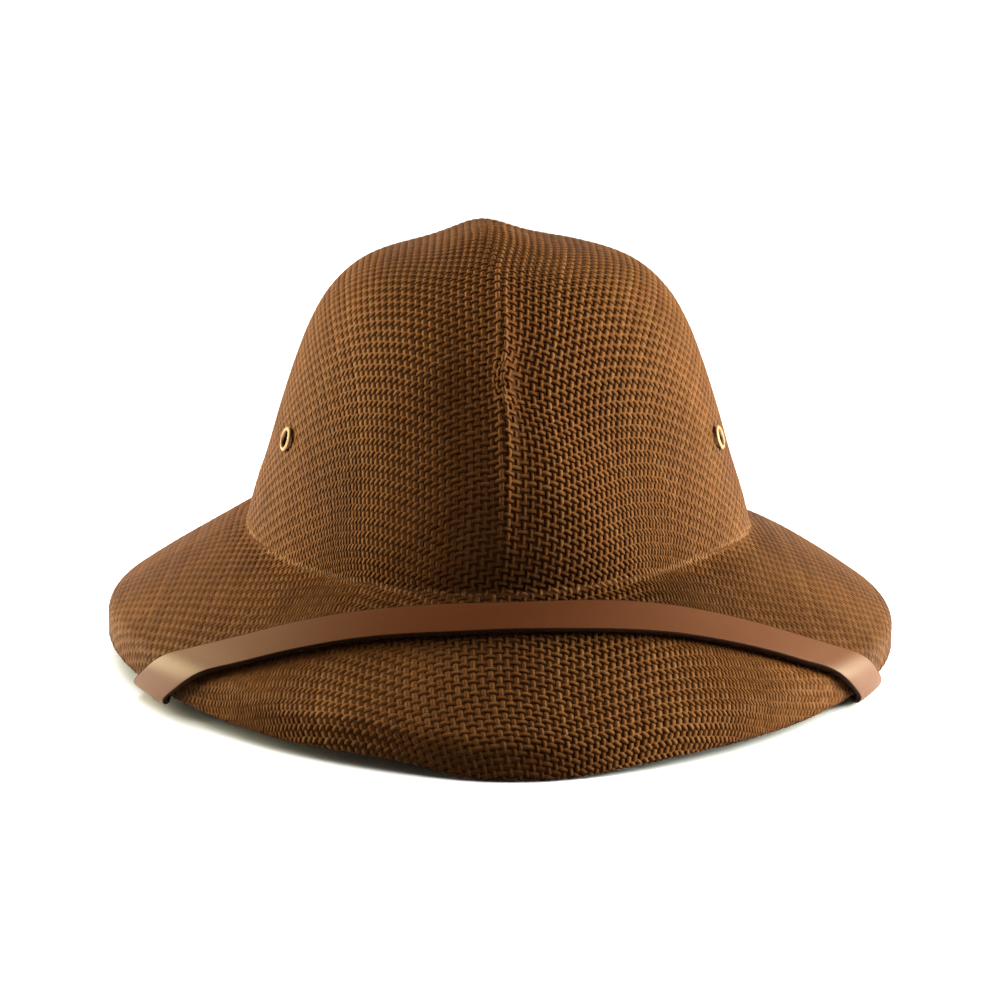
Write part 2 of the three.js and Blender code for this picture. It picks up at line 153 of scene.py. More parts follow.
def skin(theta, level):
    """Points of the outer face, theta radians round from the front and at row numbers of LEVELS."""
    theta, level = np.broadcast_arrays(np.asarray(theta, float), np.asarray(level, float))
    row = through(PROFILE, level)
    height, width, length = row[..., 0], row[..., 1], row[..., 2]
    sine, cosine = np.sin(theta), np.cos(theta)
    crease, widest = LEVELS[CREASE, 1], LEVELS[KNEE_LOW, 1]
    brim = np.clip((width - crease) / (widest - crease), 0, 1)
    flat = math.sin(math.radians(REST_HALF_ANGLE))
    sideways = np.maximum(0, np.abs(sine) - flat) / (1 - flat)
    x = width * sine * (1 - RIM_POINT * brim * cosine ** 2) + BRIM_OFFSET * brim
    ahead = np.degrees(np.arctan2(sine, cosine))
    point = np.exp(-((ahead - BRIM_POINT["angle"]) / BRIM_POINT["spread"]) ** 2)
    y = -length * cosine - BRIM_POINT["reach"] * brim * point
    z = height + (RIM_ARCH - RIM_LIFT * sine) * brim * sideways
    edge = brim ** 3 * np.clip(sideways * RIM_WAVE_START, 0, 1)
    for angle, spread, lift in RIM_WAVES:
        z = z + lift * edge * np.exp(-((ahead - angle) / spread) ** 2)
    fade = np.where(height > LEVELS[CREASE, 0], CREASE_FADE["crown"], CREASE_FADE["brim"])
    beside = np.exp(-((height - LEVELS[CREASE, 0]) / fade) ** 2)
    for angle, spread, rise in CREASE_WAVES:
        z = z + rise * beside * np.exp(-((ahead - angle) / spread) ** 2)
    crown = level > CREASE
    foot, top = LEVELS[CREASE, 0], LEVELS[APEX, 0]
    up = np.clip((height - foot) / (top - foot), 0, 1) * crown
    z = z + KEEL_HEIGHT * up ** 3 * np.exp(-((x - KEEL_LEAN * up ** 2) / KEEL_SPREAD) ** 2)
    start = np.clip((height - foot) / RELIEF_FADE, 0, 1)
    front = start ** 2 * (3 - 2 * start) * np.maximum(cosine, 0) * crown
    for at_x, at_z, spread_x, spread_z, push in FRONT_RELIEF:
        bump = np.exp(-((x - at_x) / spread_x) ** 2 - ((height - at_z) / spread_z) ** 2)
        y = y - push * bump * front
    return np.stack([x, y, z], -1)


def unit(vectors):
    """The vectors at length 1."""
    return vectors / (np.linalg.norm(vectors, axis=-1, keepdims=True) + 1e-12)


def skin_normal(theta, level):
    """Outward directions of the face."""
    step = 0.01              # radians round it and levels up it
    level = np.asarray(level, float)
    round_it = skin(theta + step, level) - skin(theta - step, level)
    up_it = skin(theta, np.minimum(level + step, APEX)) - skin(theta, level - step)
    normal = unit(np.cross(round_it, up_it))
    return np.where((level > APEX - 0.005)[..., None], np.array([0, 0, 1.0]), normal)


# ---- the cloth's middle surface ----------------------------------------------------------------

MERIDIANS = 360
ALL_ROUND = np.arange(MERIDIANS) * 2 * math.pi / MERIDIANS
LEVEL_STEP = 0.02            # between the samples down a meridian
ARC_STEP = 0.25              # between the rows of the table
YARN_DEPTH = 0.8             # the cloth's middle surface under the outer face
FLOOR_GAP = 0.1
HEM_RADIUS = 1.5             # of the turn under the rim
HEM_TOP = 5.3                # level at which the turned-in hem ends
HEM_SINK = 0.9               # how far the hem's end presses into the brim
HEM_START = 0.4              # level above the knee at which it starts to
SPARE_CLOTH = 150            # hanging past the rim while the net is laid out
SPARE_STEPS = 200
DROP_STEPS = 12              # down from the rim's edge to the hem's turn
TURN_STEPS = 32              # round the turn
BACK_ROWS = 30               # up the hem's inner side


def meridians_down_to(level):
    """Places down each meridian of the cloth's middle surface, from the apex to a level."""
    levels = np.arange(APEX, level - LEVEL_STEP / 2, -LEVEL_STEP)
    across, along = np.meshgrid(ALL_ROUND, levels, indexing="ij")
    return skin(across, along) - YARN_DEPTH * skin_normal(across, along)


def meridian_rows(folded):
    """Lines down the middle surface from the apex, with the hem turned in or hanging straight."""
    main = meridians_down_to(KNEE_LOW)
    edge = main[:, -1]
    if not folded:
        hang = np.repeat(edge[:, None], SPARE_STEPS, 1)
        hang[:, :, 2] -= np.linspace(0, SPARE_CLOTH, SPARE_STEPS + 1)[1:]
        return np.concatenate([main, hang], 1), main.shape[1] - 1
    outward = unit(skin_normal(ALL_ROUND, np.full(MERIDIANS, float(KNEE_LOW))) * (1, 1, 0))
    turn = skin(ALL_ROUND, np.full(MERIDIANS, float(RIM_BOTTOM)))[:, 2] + FLOOR_GAP + HEM_RADIUS
    turn = turn + WARP["thick"] / 2 + CRIMP
    down = np.repeat(edge[:, None], DROP_STEPS, 1)
    down[:, :, 2] += (turn - edge[:, 2])[:, None] * np.linspace(0, 1, DROP_STEPS + 1)[1:]
    angle = np.linspace(0, math.pi, TURN_STEPS + 1)[1:]
    centre = edge - outward * HEM_RADIUS
    centre[:, 2] = turn
    bend = centre[:, None] + outward[:, None] * HEM_RADIUS * np.cos(angle)[None, :, None]
    bend[:, :, 2] -= HEM_RADIUS * np.sin(angle)
    levels = np.linspace(KNEE_LOW, HEM_TOP, BACK_ROWS)
    across, along = np.meshgrid(ALL_ROUND, levels, indexing="ij")
    risen = (along - KNEE_LOW - HEM_START) / (HEM_TOP - KNEE_LOW - HEM_START)
    sink = HEM_SINK * np.clip(risen, 0, 1) ** 2
    depth = YARN_DEPTH + 2 * HEM_RADIUS - sink
    back_up = skin(across, along) - depth[..., None] * skin_normal(across, along)
    return np.concatenate([main, down, bend, back_up], 1), main.shape[1] - 1


@functools.lru_cache(maxsize=None)
def cloth_table(folded):
    """The middle surface by theta and by distance down from the apex, its normals, and the
    distances to the rim's edge and to the cloth's end on each meridian."""
    rows, edge_index = meridian_rows(folded)
    steps = np.linalg.norm(np.diff(rows, axis=1), axis=-1)
    arc = np.concatenate([np.zeros((MERIDIANS, 1)), np.cumsum(steps, 1)], 1)
    distance = np.arange(0, arc[:, -1].max() + 1, ARC_STEP)
    places = np.empty((MERIDIANS, len(distance), 3))
    for number in range(MERIDIANS):
        for axis in range(3):
            places[number, :, axis] = np.interp(distance, arc[number], rows[number, :, axis])
    round_it = np.roll(places, -1, 0) - np.roll(places, 1, 0)
    normals = unit(np.cross(np.gradient(places, axis=1), round_it))
    normals[:, :3] = (0, 0, 1)
    for number in range(MERIDIANS):
        past = distance > arc[number, -1] - ARC_STEP
        normals[number, past] = normals[number, np.argmax(past) - 1]
    return places, normals, arc[:, edge_index], arc[:, -1]


def round_index(a, b):
    """Meridian number, with its fraction, of azimuthal cloth coordinates."""
    return np.arctan2(a, -b) % (2 * math.pi) * MERIDIANS / (2 * math.pi)


def on_table(table, a, b):
    """Values of a table of theta and distance at azimuthal coordinates."""
    round_at = round_index(a, b)
    low = np.floor(round_at).astype(int)
    turn = (round_at - low)[..., None]
    low %= MERIDIANS
    high = (low + 1) % MERIDIANS
    down_at = np.clip(np.hypot(a, b) / ARC_STEP, 0, table.shape[1] - 1.001)
    row = np.floor(down_at).astype(int)
    part = (down_at - row)[..., None]
    return ((table[low, row] * (1 - part) + table[low, row + 1] * part) * (1 - turn)
            + (table[high, row] * (1 - part) + table[high, row + 1] * part) * turn)


@functools.lru_cache(maxsize=None)
def crease_distances():
    """Distance down from the apex to the crease on each meridian."""
    lines = meridians_down_to(CREASE)
    return np.linalg.norm(np.diff(lines, axis=1), axis=-1).sum(1)


def on_rim(values, a, b):
    """Values given once for each meridian, at azimuthal coordinates."""
    round_at = round_index(a, b)
    low = np.floor(round_at).astype(int)
    turn = round_at - low
    return values[low % MERIDIANS] * (1 - turn) + values[(low + 1) % MERIDIANS] * turn


# ---- the net: plain-woven cloth laid over the helmet ---------------------------------------------

NET_STEP = 6.0
NET_HALF = 48                # nodes each way from the apex
NET_TURN = -2.75             # degrees from the front to where the middle yarn crosses the rim
SHEAR_HOLD = 0.02            # stiffness of the cloth against shear, where stretching is 1
BEND_HOLD = 0.8              # of the yarns against bending sideways
SQUEEZE_HOLD = 0.8           # of the yarns against being pushed together
LOOSE_PAST = 34              # distance past the rim's edge at which the cloth hangs loose
LOOSE_WIDTH = 18             # over which it gets there
LOOSE_HOLD = 0.02            # part of its stiffness that the hanging cloth keeps
COARSE_PASSES = 500
FINE_PASSES = 320
EASE = 0.12                  # of each force that a node follows in one pass
CARRY = 0.93                 # of its movement that it keeps for the next
LONGEST_MOVE = 1.5           # in one pass
REACH = 0.5                  # either side of a node, for the slopes of the surface


def lay_net(a, b, step, passes):
    """Lets a net of nodes, at azimuthal coordinates a and b, settle on the helmet."""
    places, _, edges, _ = cloth_table(False)
    middle = len(a) // 2
    move_a, move_b = np.zeros_like(a), np.zeros_like(b)
    every, inner = slice(None), slice(1, -1)
    first, last = slice(None, -1), slice(1, None)
    low, high = slice(None, -2), slice(2, None)
    springs = [
        ((first, every), (last, every), step, 1.0, SQUEEZE_HOLD),
        ((every, first), (every, last), step, 1.0, SQUEEZE_HOLD),
        ((first, first), (last, last), step * math.sqrt(2), SHEAR_HOLD, 1.0),
        ((last, first), (first, last), step * math.sqrt(2), SHEAR_HOLD, 1.0),
    ]
    benders = [((low, every), (inner, every), (high, every)),
               ((every, low), (every, inner), (every, high))]
    for _ in range(passes):
        at = on_table(places, a, b)
        along_a = on_table(places, a + REACH, b) - on_table(places, a - REACH, b)
        along_b = on_table(places, a, b + REACH) - on_table(places, a, b - REACH)
        inside = np.clip((edges.mean() + LOOSE_PAST - np.hypot(a, b)) / LOOSE_WIDTH, LOOSE_HOLD, 1)
        force = np.zeros_like(at)
        for one, two, rest, hold, squeeze in springs:
            gap = at[two] - at[one]
            long = np.linalg.norm(gap, axis=-1, keepdims=True) + 1e-9
            weight = np.minimum(inside[one], inside[two])[..., None]
            pull = np.where(long < rest, squeeze, 1.0) * hold * weight * (long - rest) * gap / long
            force[one] += pull
            force[two] -= pull
        for one, two, three in benders:
            weight = np.minimum(inside[one], inside[three])[..., None]
            bow = BEND_HOLD * weight * (at[one] - 2 * at[two] + at[three])
            force[two] += bow
            force[one] -= bow / 2
            force[three] -= bow / 2
        g11 = (along_a ** 2).sum(-1) + 1e-2
        g22 = (along_b ** 2).sum(-1) + 1e-2
        g12 = (along_a * along_b).sum(-1)
        size = g11 * g22 - g12 ** 2 + 1e-4
        push_a, push_b = (along_a * force).sum(-1), (along_b * force).sum(-1)
        move_a = CARRY * move_a + EASE * (g22 * push_a - g12 * push_b) / size
        move_b = CARRY * move_b + EASE * (g11 * push_b - g12 * push_a) / size
        limit = np.maximum(np.hypot(move_a, move_b) / LONGEST_MOVE, 1)
        move_a, move_b = move_a / limit, move_b / limit
        move_a[middle, middle] = move_b[middle, middle] = 0
        a, b = a + move_a, b + move_b
    return a, b


def between_nodes(grid, half, step, u, v):
    """Smooth values of a square grid of nodes at cloth coordinates u and v."""
    x, y = u / step + half, v / step + half
    i = np.clip(np.floor(x).astype(int), 1, 2 * half - 2)
    j = np.clip(np.floor(y).astype(int), 1, 2 * half - 2)
    weights = []
    for t in (x - i, y - j):
        weights.append([
            -0.5 * t + t ** 2 - 0.5 * t ** 3,
            1 - 2.5 * t ** 2 + 1.5 * t ** 3,
            0.5 * t + 2 * t ** 2 - 1.5 * t ** 3,
            -0.5 * t ** 2 + 0.5 * t ** 3,
        ])
    total = 0
    for p in range(4):
        for q in range(4):
            total = total + weights[0][p] * weights[1][q] * grid[i + p - 1, j + q - 1]
    return total


@functools.lru_cache(maxsize=None)
def settled_net():
    """Azimuthal coordinates of the net's nodes after it has settled, coarse first and then fine."""
    half = NET_HALF // 2
    wide = np.arange(-half, half + 1) * 2 * NET_STEP
    across, along = np.meshgrid(wide, wide, indexing="ij")
    turn = math.radians(NET_TURN)
    a = across * math.cos(turn) - along * math.sin(turn)
    b = across * math.sin(turn) + along * math.cos(turn)
    a, b = lay_net(a, b, 2 * NET_STEP, COARSE_PASSES)
    fine = np.arange(-NET_HALF, NET_HALF + 1) * NET_STEP
    u, v = np.meshgrid(fine, fine, indexing="ij")
    a, b = (between_nodes(grid, half, 2 * NET_STEP, u, v) for grid in (a, b))
    return lay_net(a, b, NET_STEP, FINE_PASSES)


# ---- the yarns -----------------------------------------------------------------------------------

SEED = 11
WARP = {"pitch": 2.85, "wide": 0.58, "thick": 0.58}      # front to back; wide is a part of the pitch
WEFT = {"pitch": 2.45, "wide": 0.66, "thick": 0.54}      # side to side
CRIMP = 0.27                 # how far each yarn passes over and under the middle surface
SHOULDER = 0.25              # part of a pitch from a crossing to the end of its flat
SIDE_FLAT = 1.0              # how much wider and flatter the yarns are pressed at the sides
BRIM_FLAT = 1.3              # and how much more of that on the brim
BRIM_FADE = 20               # distance over which it sets in, out from the crease
CLOSEST = 0.96               # part of their spacing that crowded yarns fill
LEAST_SPACE = 0.35           # of a pitch that crowded yarns keep
DRIFT = 0.10                 # how far a yarn wanders sideways along its length
DRIFT_SECOND = 0.6           # of that for the second of its two waves
DRIFT_LENGTHS = (25, 70)     # from which the lengths of the waves are drawn
OFF_PLACE = 0.07             # spread of the yarns' places
LIFTS = (0.86, 1.12)         # from which the rise at each crossing is drawn
WIDTH_SPREAD = 0.07          # of the yarns' widths, as a part of them
LEAST_END = 0.15             # of a ring's spacing: shorter ends are left off

# Where painted highlight and painted shade go on the straw, in millimetres and in parts of the full
# effect.
CREASE_HIGHLIGHT = 0.9            # half the width of the painted highlight along the crease
# Painted shade where the strap lies and below: middle and half spreads, laid flat from the apex.
PAINTED_SHADE_PATCH = {"across": 14, "along": -178, "wide": 74, "long": 24}
# Painted shade on the brim behind the strap too, most of all on the right. It sets in over the
# distances "start", out from the crease, and "strap", back from the strap's middle line.
PAINTED_BRIM_SHADE = {"least": 0.42, "more": 0.48, "across": 58, "wide": 58, "start": 8, "strap": 6}

# Fittings through the cloth: angle each way from the front, and level.
EYELET_ANGLE = 68.5
EYELET_LEVEL = 14.62
RIVET_ANGLE = 104.0
RIVET_LEVEL = 12.9
HOLE_NEAR = 12               # yarns further than this from a hole are never cut by it


def fitting_holes(eyelet, rivet):
    """Angle, level and radius of each hole, for the radii round an eyelet and round a rivet."""
    fittings = ((EYELET_ANGLE, EYELET_LEVEL, eyelet), (RIVET_ANGLE, RIVET_LEVEL, rivet))
    return [(side * angle, level, radius) for angle, level, radius in fittings for side in (-1, 1)]


YARN_HOLES = fitting_holes(4.1, 2.2)


def wander(rng, count, spread):
    """A slow sideways drift for each of count yarns, as a function of the distance along it."""
    phases = rng.uniform(0, 2 * math.pi, (2, count, 1))
    lengths = rng.uniform(*DRIFT_LENGTHS, (2, count, 1))
    return lambda at: spread * (np.sin(at / lengths[0] * 2 * math.pi + phases[0])
                                + DRIFT_SECOND * np.sin(at / lengths[1] * 2 * math.pi + phases[1]))


def yarn_rings(warps):
    """Every ring of one set of yarns: place, normal, width, thickness, painted light and shade, and how
    far it lies inside the cloth's edges. Rows are yarns, columns are rings along them."""
    own, other = (WARP, WEFT) if warps else (WEFT, WARP)
    rng = np.random.default_rng(SEED)
    places, normals, _, ends = cloth_table(True)
    net_a, net_b = settled_net()
    reach = (NET_HALF - 2) * NET_STEP
    counts = [2 * int(reach / yarn["pitch"]) for yarn in (WARP, WEFT)]
    drifts = [wander(rng, count, DRIFT) for count in counts]
    shifts = [rng.normal(0, OFF_PLACE, count) for count in counts]
    lifts = rng.uniform(*LIFTS, counts)
    bases = [(np.arange(count) - (count - 1) / 2) * yarn["pitch"] + shift
             for count, yarn, shift in zip(counts, (WARP, WEFT), shifts)]
    mine, theirs = (0, 1) if warps else (1, 0)
    own_at, other_at = bases[mine], bases[theirs]
    crossing = other_at[None, :] + drifts[theirs](own_at[None, :]).T
    crossing = np.broadcast_to(crossing, (counts[mine], counts[theirs]))
    flat = SHOULDER * other["pitch"]
    along = np.stack([crossing - flat, crossing + flat], -1).reshape(counts[mine], -1)
    side = own_at[:, None] + drifts[mine](along)
    u, v = (side, along) if warps else (along, side)
    a, b = (between_nodes(grid, NET_HALF, NET_STEP, u, v) for grid in (net_a, net_b))
    centre = on_table(places, a, b)
    normal = unit(on_table(normals, a, b))
    number, cross = np.meshgrid(np.arange(counts[mine]), np.arange(counts[theirs]), indexing="ij")
    over = np.where((number + cross) % 2 == (0 if warps else 1), 1.0, -1.0)
    lift = over * (lifts if warps else lifts.T)
    from_crease = np.hypot(a, b) - on_rim(crease_distances(), a, b)
    outward = 1 + BRIM_FLAT * np.clip(from_crease / BRIM_FADE, 0, 1)
    flat_part = 1 + SIDE_FLAT * outward * a ** 2 / (a ** 2 + b ** 2 + 1)
    height = CRIMP * np.repeat(lift, 2, 1) / flat_part
    inside = on_rim(ends, a, b) - np.hypot(a, b)
    for angle, level, radius in YARN_HOLES:
        theta = np.array(math.radians(angle))
        axis = skin_normal(theta, level)
        away = centre - (skin(theta, level) - YARN_DEPTH * axis)
        off_axis = np.linalg.norm(away - (away @ axis)[..., None] * axis, axis=-1)
        near = np.linalg.norm(away, axis=-1) < HOLE_NEAR
        inside = np.where(near, np.minimum(inside, off_axis - radius), inside)
    tangent = unit(np.gradient(centre, axis=1))
    neighbour = np.gradient(centre, axis=0)
    room = np.linalg.norm(neighbour - (neighbour * tangent).sum(-1, keepdims=True) * tangent, axis=-1)
    room = np.clip(room, LEAST_SPACE * own["pitch"], None)
    tone = np.random.default_rng(SEED + 1 + mine).normal(0, 1, counts[mine])
    width = own["pitch"] * own["wide"] * (1 + WIDTH_SPREAD * tone[:, None]) * flat_part
    return {
        "path": centre + normal * height[..., None],
        "normal": normal,
        "inside": inside,
        "width": np.minimum(width, room * CLOSEST),
        "thick": own["thick"] / flat_part,
        "round": own["thick"],
        "tone": np.random.default_rng(SEED + 3 + mine).uniform(0, 1, counts[mine]),
        "painted_light": paint_light_and_shade(a, b, centre, from_crease),
    }


def paint_light_and_shade(a, b, centre, from_crease):
    """Painted light on the straw: 1 for the painted highlight along the crease, -1 where the painted
    shade is darkest.
    """
    # Painted highlight along the crease.
    highlight = np.exp(-(from_crease / CREASE_HIGHLIGHT) ** 2)
    # Painted shade where the strap lies and below it.
    patch = np.exp(-((a - PAINTED_SHADE_PATCH["across"]) / PAINTED_SHADE_PATCH["wide"]) ** 2
                   - ((b - PAINTED_SHADE_PATCH["along"]) / PAINTED_SHADE_PATCH["long"]) ** 2)
    # Painted shade on the brim behind the strap.
    behind = (centre[..., 1] - strap_plan(centre[..., 0])) / PAINTED_BRIM_SHADE["strap"]
    brim = PAINTED_BRIM_SHADE["least"] + PAINTED_BRIM_SHADE["more"] * np.exp(
        -((centre[..., 0] - PAINTED_BRIM_SHADE["across"]) / PAINTED_BRIM_SHADE["wide"]) ** 2)
    brim = brim * np.clip(from_crease / PAINTED_BRIM_SHADE["start"], 0, 1) * np.clip(behind, 0, 1)
    return highlight - np.maximum(patch, brim) * (1 - highlight)


def runs_inside(inside):
    """Pairs of first and last ring of each stretch of one yarn that lies inside the cloth."""
    keep = np.concatenate([[False], inside > 0, [False]])
    flips = np.flatnonzero(keep[1:] != keep[:-1])
    return [(start, stop - 1) for start, stop in zip(flips[::2], flips[1::2]) if stop - start > 1]


def stretch(rings, yarn, first, last):
    """Path, normals, widths, thicknesses and painted light and shade of one stretch, carried on to the
    cloth's edge.
    """
    inside = rings["inside"][yarn]
    columns = []
    for name in ("path", "normal", "width", "thick", "painted_light"):
        values = rings[name][yarn]
        line = values[first:last + 1]
        for end, beyond, front in ((first, first - 1, True), (last, last + 1, False)):
            if 0 <= beyond < len(inside):
                part = inside[end] / (inside[end] - inside[beyond])
                if part > LEAST_END:
                    extra = values[end] + (values[beyond] - values[end]) * part
                    line = np.concatenate((extra[None], line) if front else (line, extra[None]))
        columns.append(line)
    return columns


def yarn_mesh(rings, chosen):
    """Vertices, quads, tones, painted light and shade, and shading normals of closed four-sided yarns.
    A round yarn is shaded as a tube, and the flatter it is pressed, the more its edges are shaded as
    its face."""
    points, quads, tones, painted_light, facing = [], [], [], [], []
    base = 0
    for yarn in chosen:
        for first, last in runs_inside(rings["inside"][yarn]):
            path, normal, width, thick, painted = stretch(rings, yarn, first, last)
            if len(path) < 3:
                continue
            tangent = unit(np.gradient(path, axis=0))
            side = unit(np.cross(tangent, normal))
            up = np.cross(side, tangent)
            out_side = side * (width / 2)[:, None]
            out_up = up * (thick / 2)[:, None]
            ring = np.stack([path + out_side, path + out_up, path - out_side, path - out_up], 1)
            roundness = np.clip(thick / rings["round"], 0, 1)[:, None]
            lean, lift = side * roundness, up * (1 - roundness)
            facing.append(np.stack([unit(lean + lift), up, unit(lift - lean), -up], 1).reshape(-1, 3))
            count = len(path)
            points.append(ring.reshape(-1, 3))
            start = base + 4 * np.arange(count - 1)[:, None]
            corner = np.arange(4)[None, :]
            following = (corner + 1) % 4
            quads.append(np.stack([start + 4 + corner, start + 4 + following,
                                   start + following, start + corner], -1).reshape(-1, 4))
            quads.append(np.array([base + np.arange(4),
                                   base + 4 * (count - 1) + np.arange(4)[::-1]]))
            tones.append(np.full(4 * count, rings["tone"][yarn]))
            painted_light.append(np.repeat(painted, 4))
            base += 4 * count
    return [np.concatenate(values) for values in (points, quads, tones, painted_light, facing)]


# ---- the ground: the dark layer that closes the weave's gaps and paints their shade ----------------

GROUND_THICK = 0.3
GROUND_SINK = 0.18           # inward from the cloth's middle surface
GROUND_AROUND = 150          # faces round it
GROUND_DOWN = 80             # rows from the apex to the rim's edge
GROUND_HEM = 26              # rows in the hem
GROUND_SHORT = 1.5           # how far it stops before the cloth's end
GROUND_HOLES = fitting_holes(3.6, 1.8)


def ground_geometry():
    """Points and faces of a thin closed sheet along the cloth's middle surface."""
    places, normals, edges, ends = cloth_table(True)
    theta = np.arange(GROUND_AROUND) * 2 * math.pi / GROUND_AROUND
    way_a, way_b = np.sin(theta), -np.cos(theta)
    edge, end = on_rim(edges, way_a, way_b), on_rim(ends, way_a, way_b) - GROUND_SHORT
    rows = [edge * part for part in np.linspace(0, 1, GROUND_DOWN + 1)[1:]]
    rows += [edge + (end - edge) * part for part in np.linspace(0, 1, GROUND_HEM + 1)[1:]]
    distance = np.array(rows)
    a, b = distance * way_a, distance * way_b
    normal = unit(on_table(normals, a, b))
    middle = on_table(places, a, b) - normal * GROUND_SINK
    count = len(rows)
    half = normal * GROUND_THICK / 2
    outer, inner = middle + half, middle - half
    top = on_table(places, np.zeros(1), np.zeros(1))[0] - (0, 0, GROUND_SINK)
    points = np.concatenate([
        [top + (0, 0, GROUND_THICK / 2)], outer.reshape(-1, 3),
        inner.reshape(-1, 3), [top - (0, 0, GROUND_THICK / 2)]])
    faces = []
    around = np.arange(GROUND_AROUND)
    beside = (around + 1) % GROUND_AROUND
    last = len(points) - 1
    for row in range(2 * count - 1):
        upper = row if row < count else 3 * count - 1 - row
        lower = row + 1 if row + 1 < count else 3 * count - 2 - row
        above, below = 1 + upper * GROUND_AROUND, 1 + lower * GROUND_AROUND
        faces += list(zip(above + around, below + around, below + beside, above + beside))
    faces += [(0, 1 + k, 1 + m) for k, m in zip(around, beside)]
    inside = 1 + count * GROUND_AROUND
    faces += [(last, inside + m, inside + k) for k, m in zip(around, beside)]
    return points, faces


# ---- meshes and materials ------------------------------------------------------------------------


def mesh_object(name, points, faces, materials, indices=None):
    """An object from points in millimetres and faces, with a material for each face index."""
    mesh = bpy.data.meshes.new(name)
    counts = np.fromiter((len(face) for face in faces), int, len(faces))
    corners = np.concatenate([np.asarray(face) for face in faces]) if counts.std() else (
        np.asarray(faces).reshape(-1))
    starts = np.concatenate([[0], np.cumsum(counts)[:-1]])
    mesh.vertices.add(len(points))
    mesh.vertices.foreach_set("co", (np.asarray(points) * MM).astype(np.float32).reshape(-1))
    mesh.loops.add(len(corners))
    mesh.loops.foreach_set("vertex_index", corners.astype(np.int32))
    mesh.polygons.add(len(faces))
    mesh.polygons.foreach_set("loop_start", starts.astype(np.int32))
    mesh.polygons.foreach_set("use_smooth", np.ones(len(faces), bool))
    for material in materials:
        mesh.materials.append(material)
    if indices is not None:
        mesh.polygons.foreach_set("material_index", np.asarray(indices, np.int32))
    mesh.update(calc_edges=True)
    mesh.validate()
    thing = bpy.data.objects.new(name, mesh)
    bpy.context.scene.collection.objects.link(thing)
    return thing


class Nodes:
    """Short calls for building one material's nodes."""

    def __init__(self, name):
        self.material = bpy.data.materials.new(name)
        self.material.use_nodes = True
        self.tree = self.material.node_tree
        self.tree.nodes.clear()
        self.shader = self.add("ShaderNodeBsdfPrincipled")
        output = self.add("ShaderNodeOutputMaterial")
        self.join(self.shader, "BSDF", output, "Surface")

    def add(self, kind, **settings):
        node = self.tree.nodes.new(kind)
        for key, value in settings.items():
            setattr(node, key, value)
        return node

    def join(self, source, out, target, into):
        self.tree.links.new(source.outputs[out], target.inputs[into])

    def noise(self, scale, detail=3.0, rough=0.5, stretch=(1, 1, 1)):
        place = self.add("ShaderNodeTexCoord")
        mapping = self.add("ShaderNodeMapping")
        mapping.inputs["Scale"].default_value = stretch
        self.join(place, "Object", mapping, "Vector")
        noise = self.add("ShaderNodeTexNoise")
        noise.inputs["Scale"].default_value = scale
        noise.inputs["Detail"].default_value = detail
        noise.inputs["Roughness"].default_value = rough
        self.join(mapping, "Vector", noise, "Vector")
        return noise

    def ramp(self, source, out, stops):
        ramp = self.add("ShaderNodeValToRGB")
        elements = ramp.color_ramp.elements
        while len(elements) < len(stops):
            elements.new(0.5)
        for element, (position, colour) in zip(elements, stops):
            element.position = position
            element.color = (*colour, 1)
        self.join(source, out, ramp, "Fac")
        return ramp

    def mix(self, first, second, factor, blend="MIX"):
        mix = self.add("ShaderNodeMix", data_type="RGBA", blend_type=blend)
        if isinstance(factor, float):
            mix.inputs[0].default_value = factor
        else:
            self.tree.links.new(factor, mix.inputs[0])
        self.tree.links.new(first, mix.inputs[6])
        self.tree.links.new(second, mix.inputs[7])
        return mix.outputs[2]

    def spread(self, source, out, low, high):
        """Maps 0 to 1 onto low to high, unless the node's own range is set afterwards."""
        node = self.add("ShaderNodeMapRange")
        node.inputs["To Min"].default_value = low
        node.inputs["To Max"].default_value = high
        self.join(source, out, node, "Value")
        return node

    def bump(self, source, out, strength, distance):
        node = self.add("ShaderNodeBump")
        node.inputs["Strength"].default_value = strength
        node.inputs["Distance"].default_value = distance
        self.join(source, out, node, "Height")
        self.join(node, "Normal", self.shader, "Normal")
        return node


STRAW_PAINTED_SHADE = 0.50           # part of the straw's colour that is left where the painted shade is darkest
STRAW_PAINTED_HIGHLIGHT = 0.65          # part of the painted highlight's pale colour where it is strongest


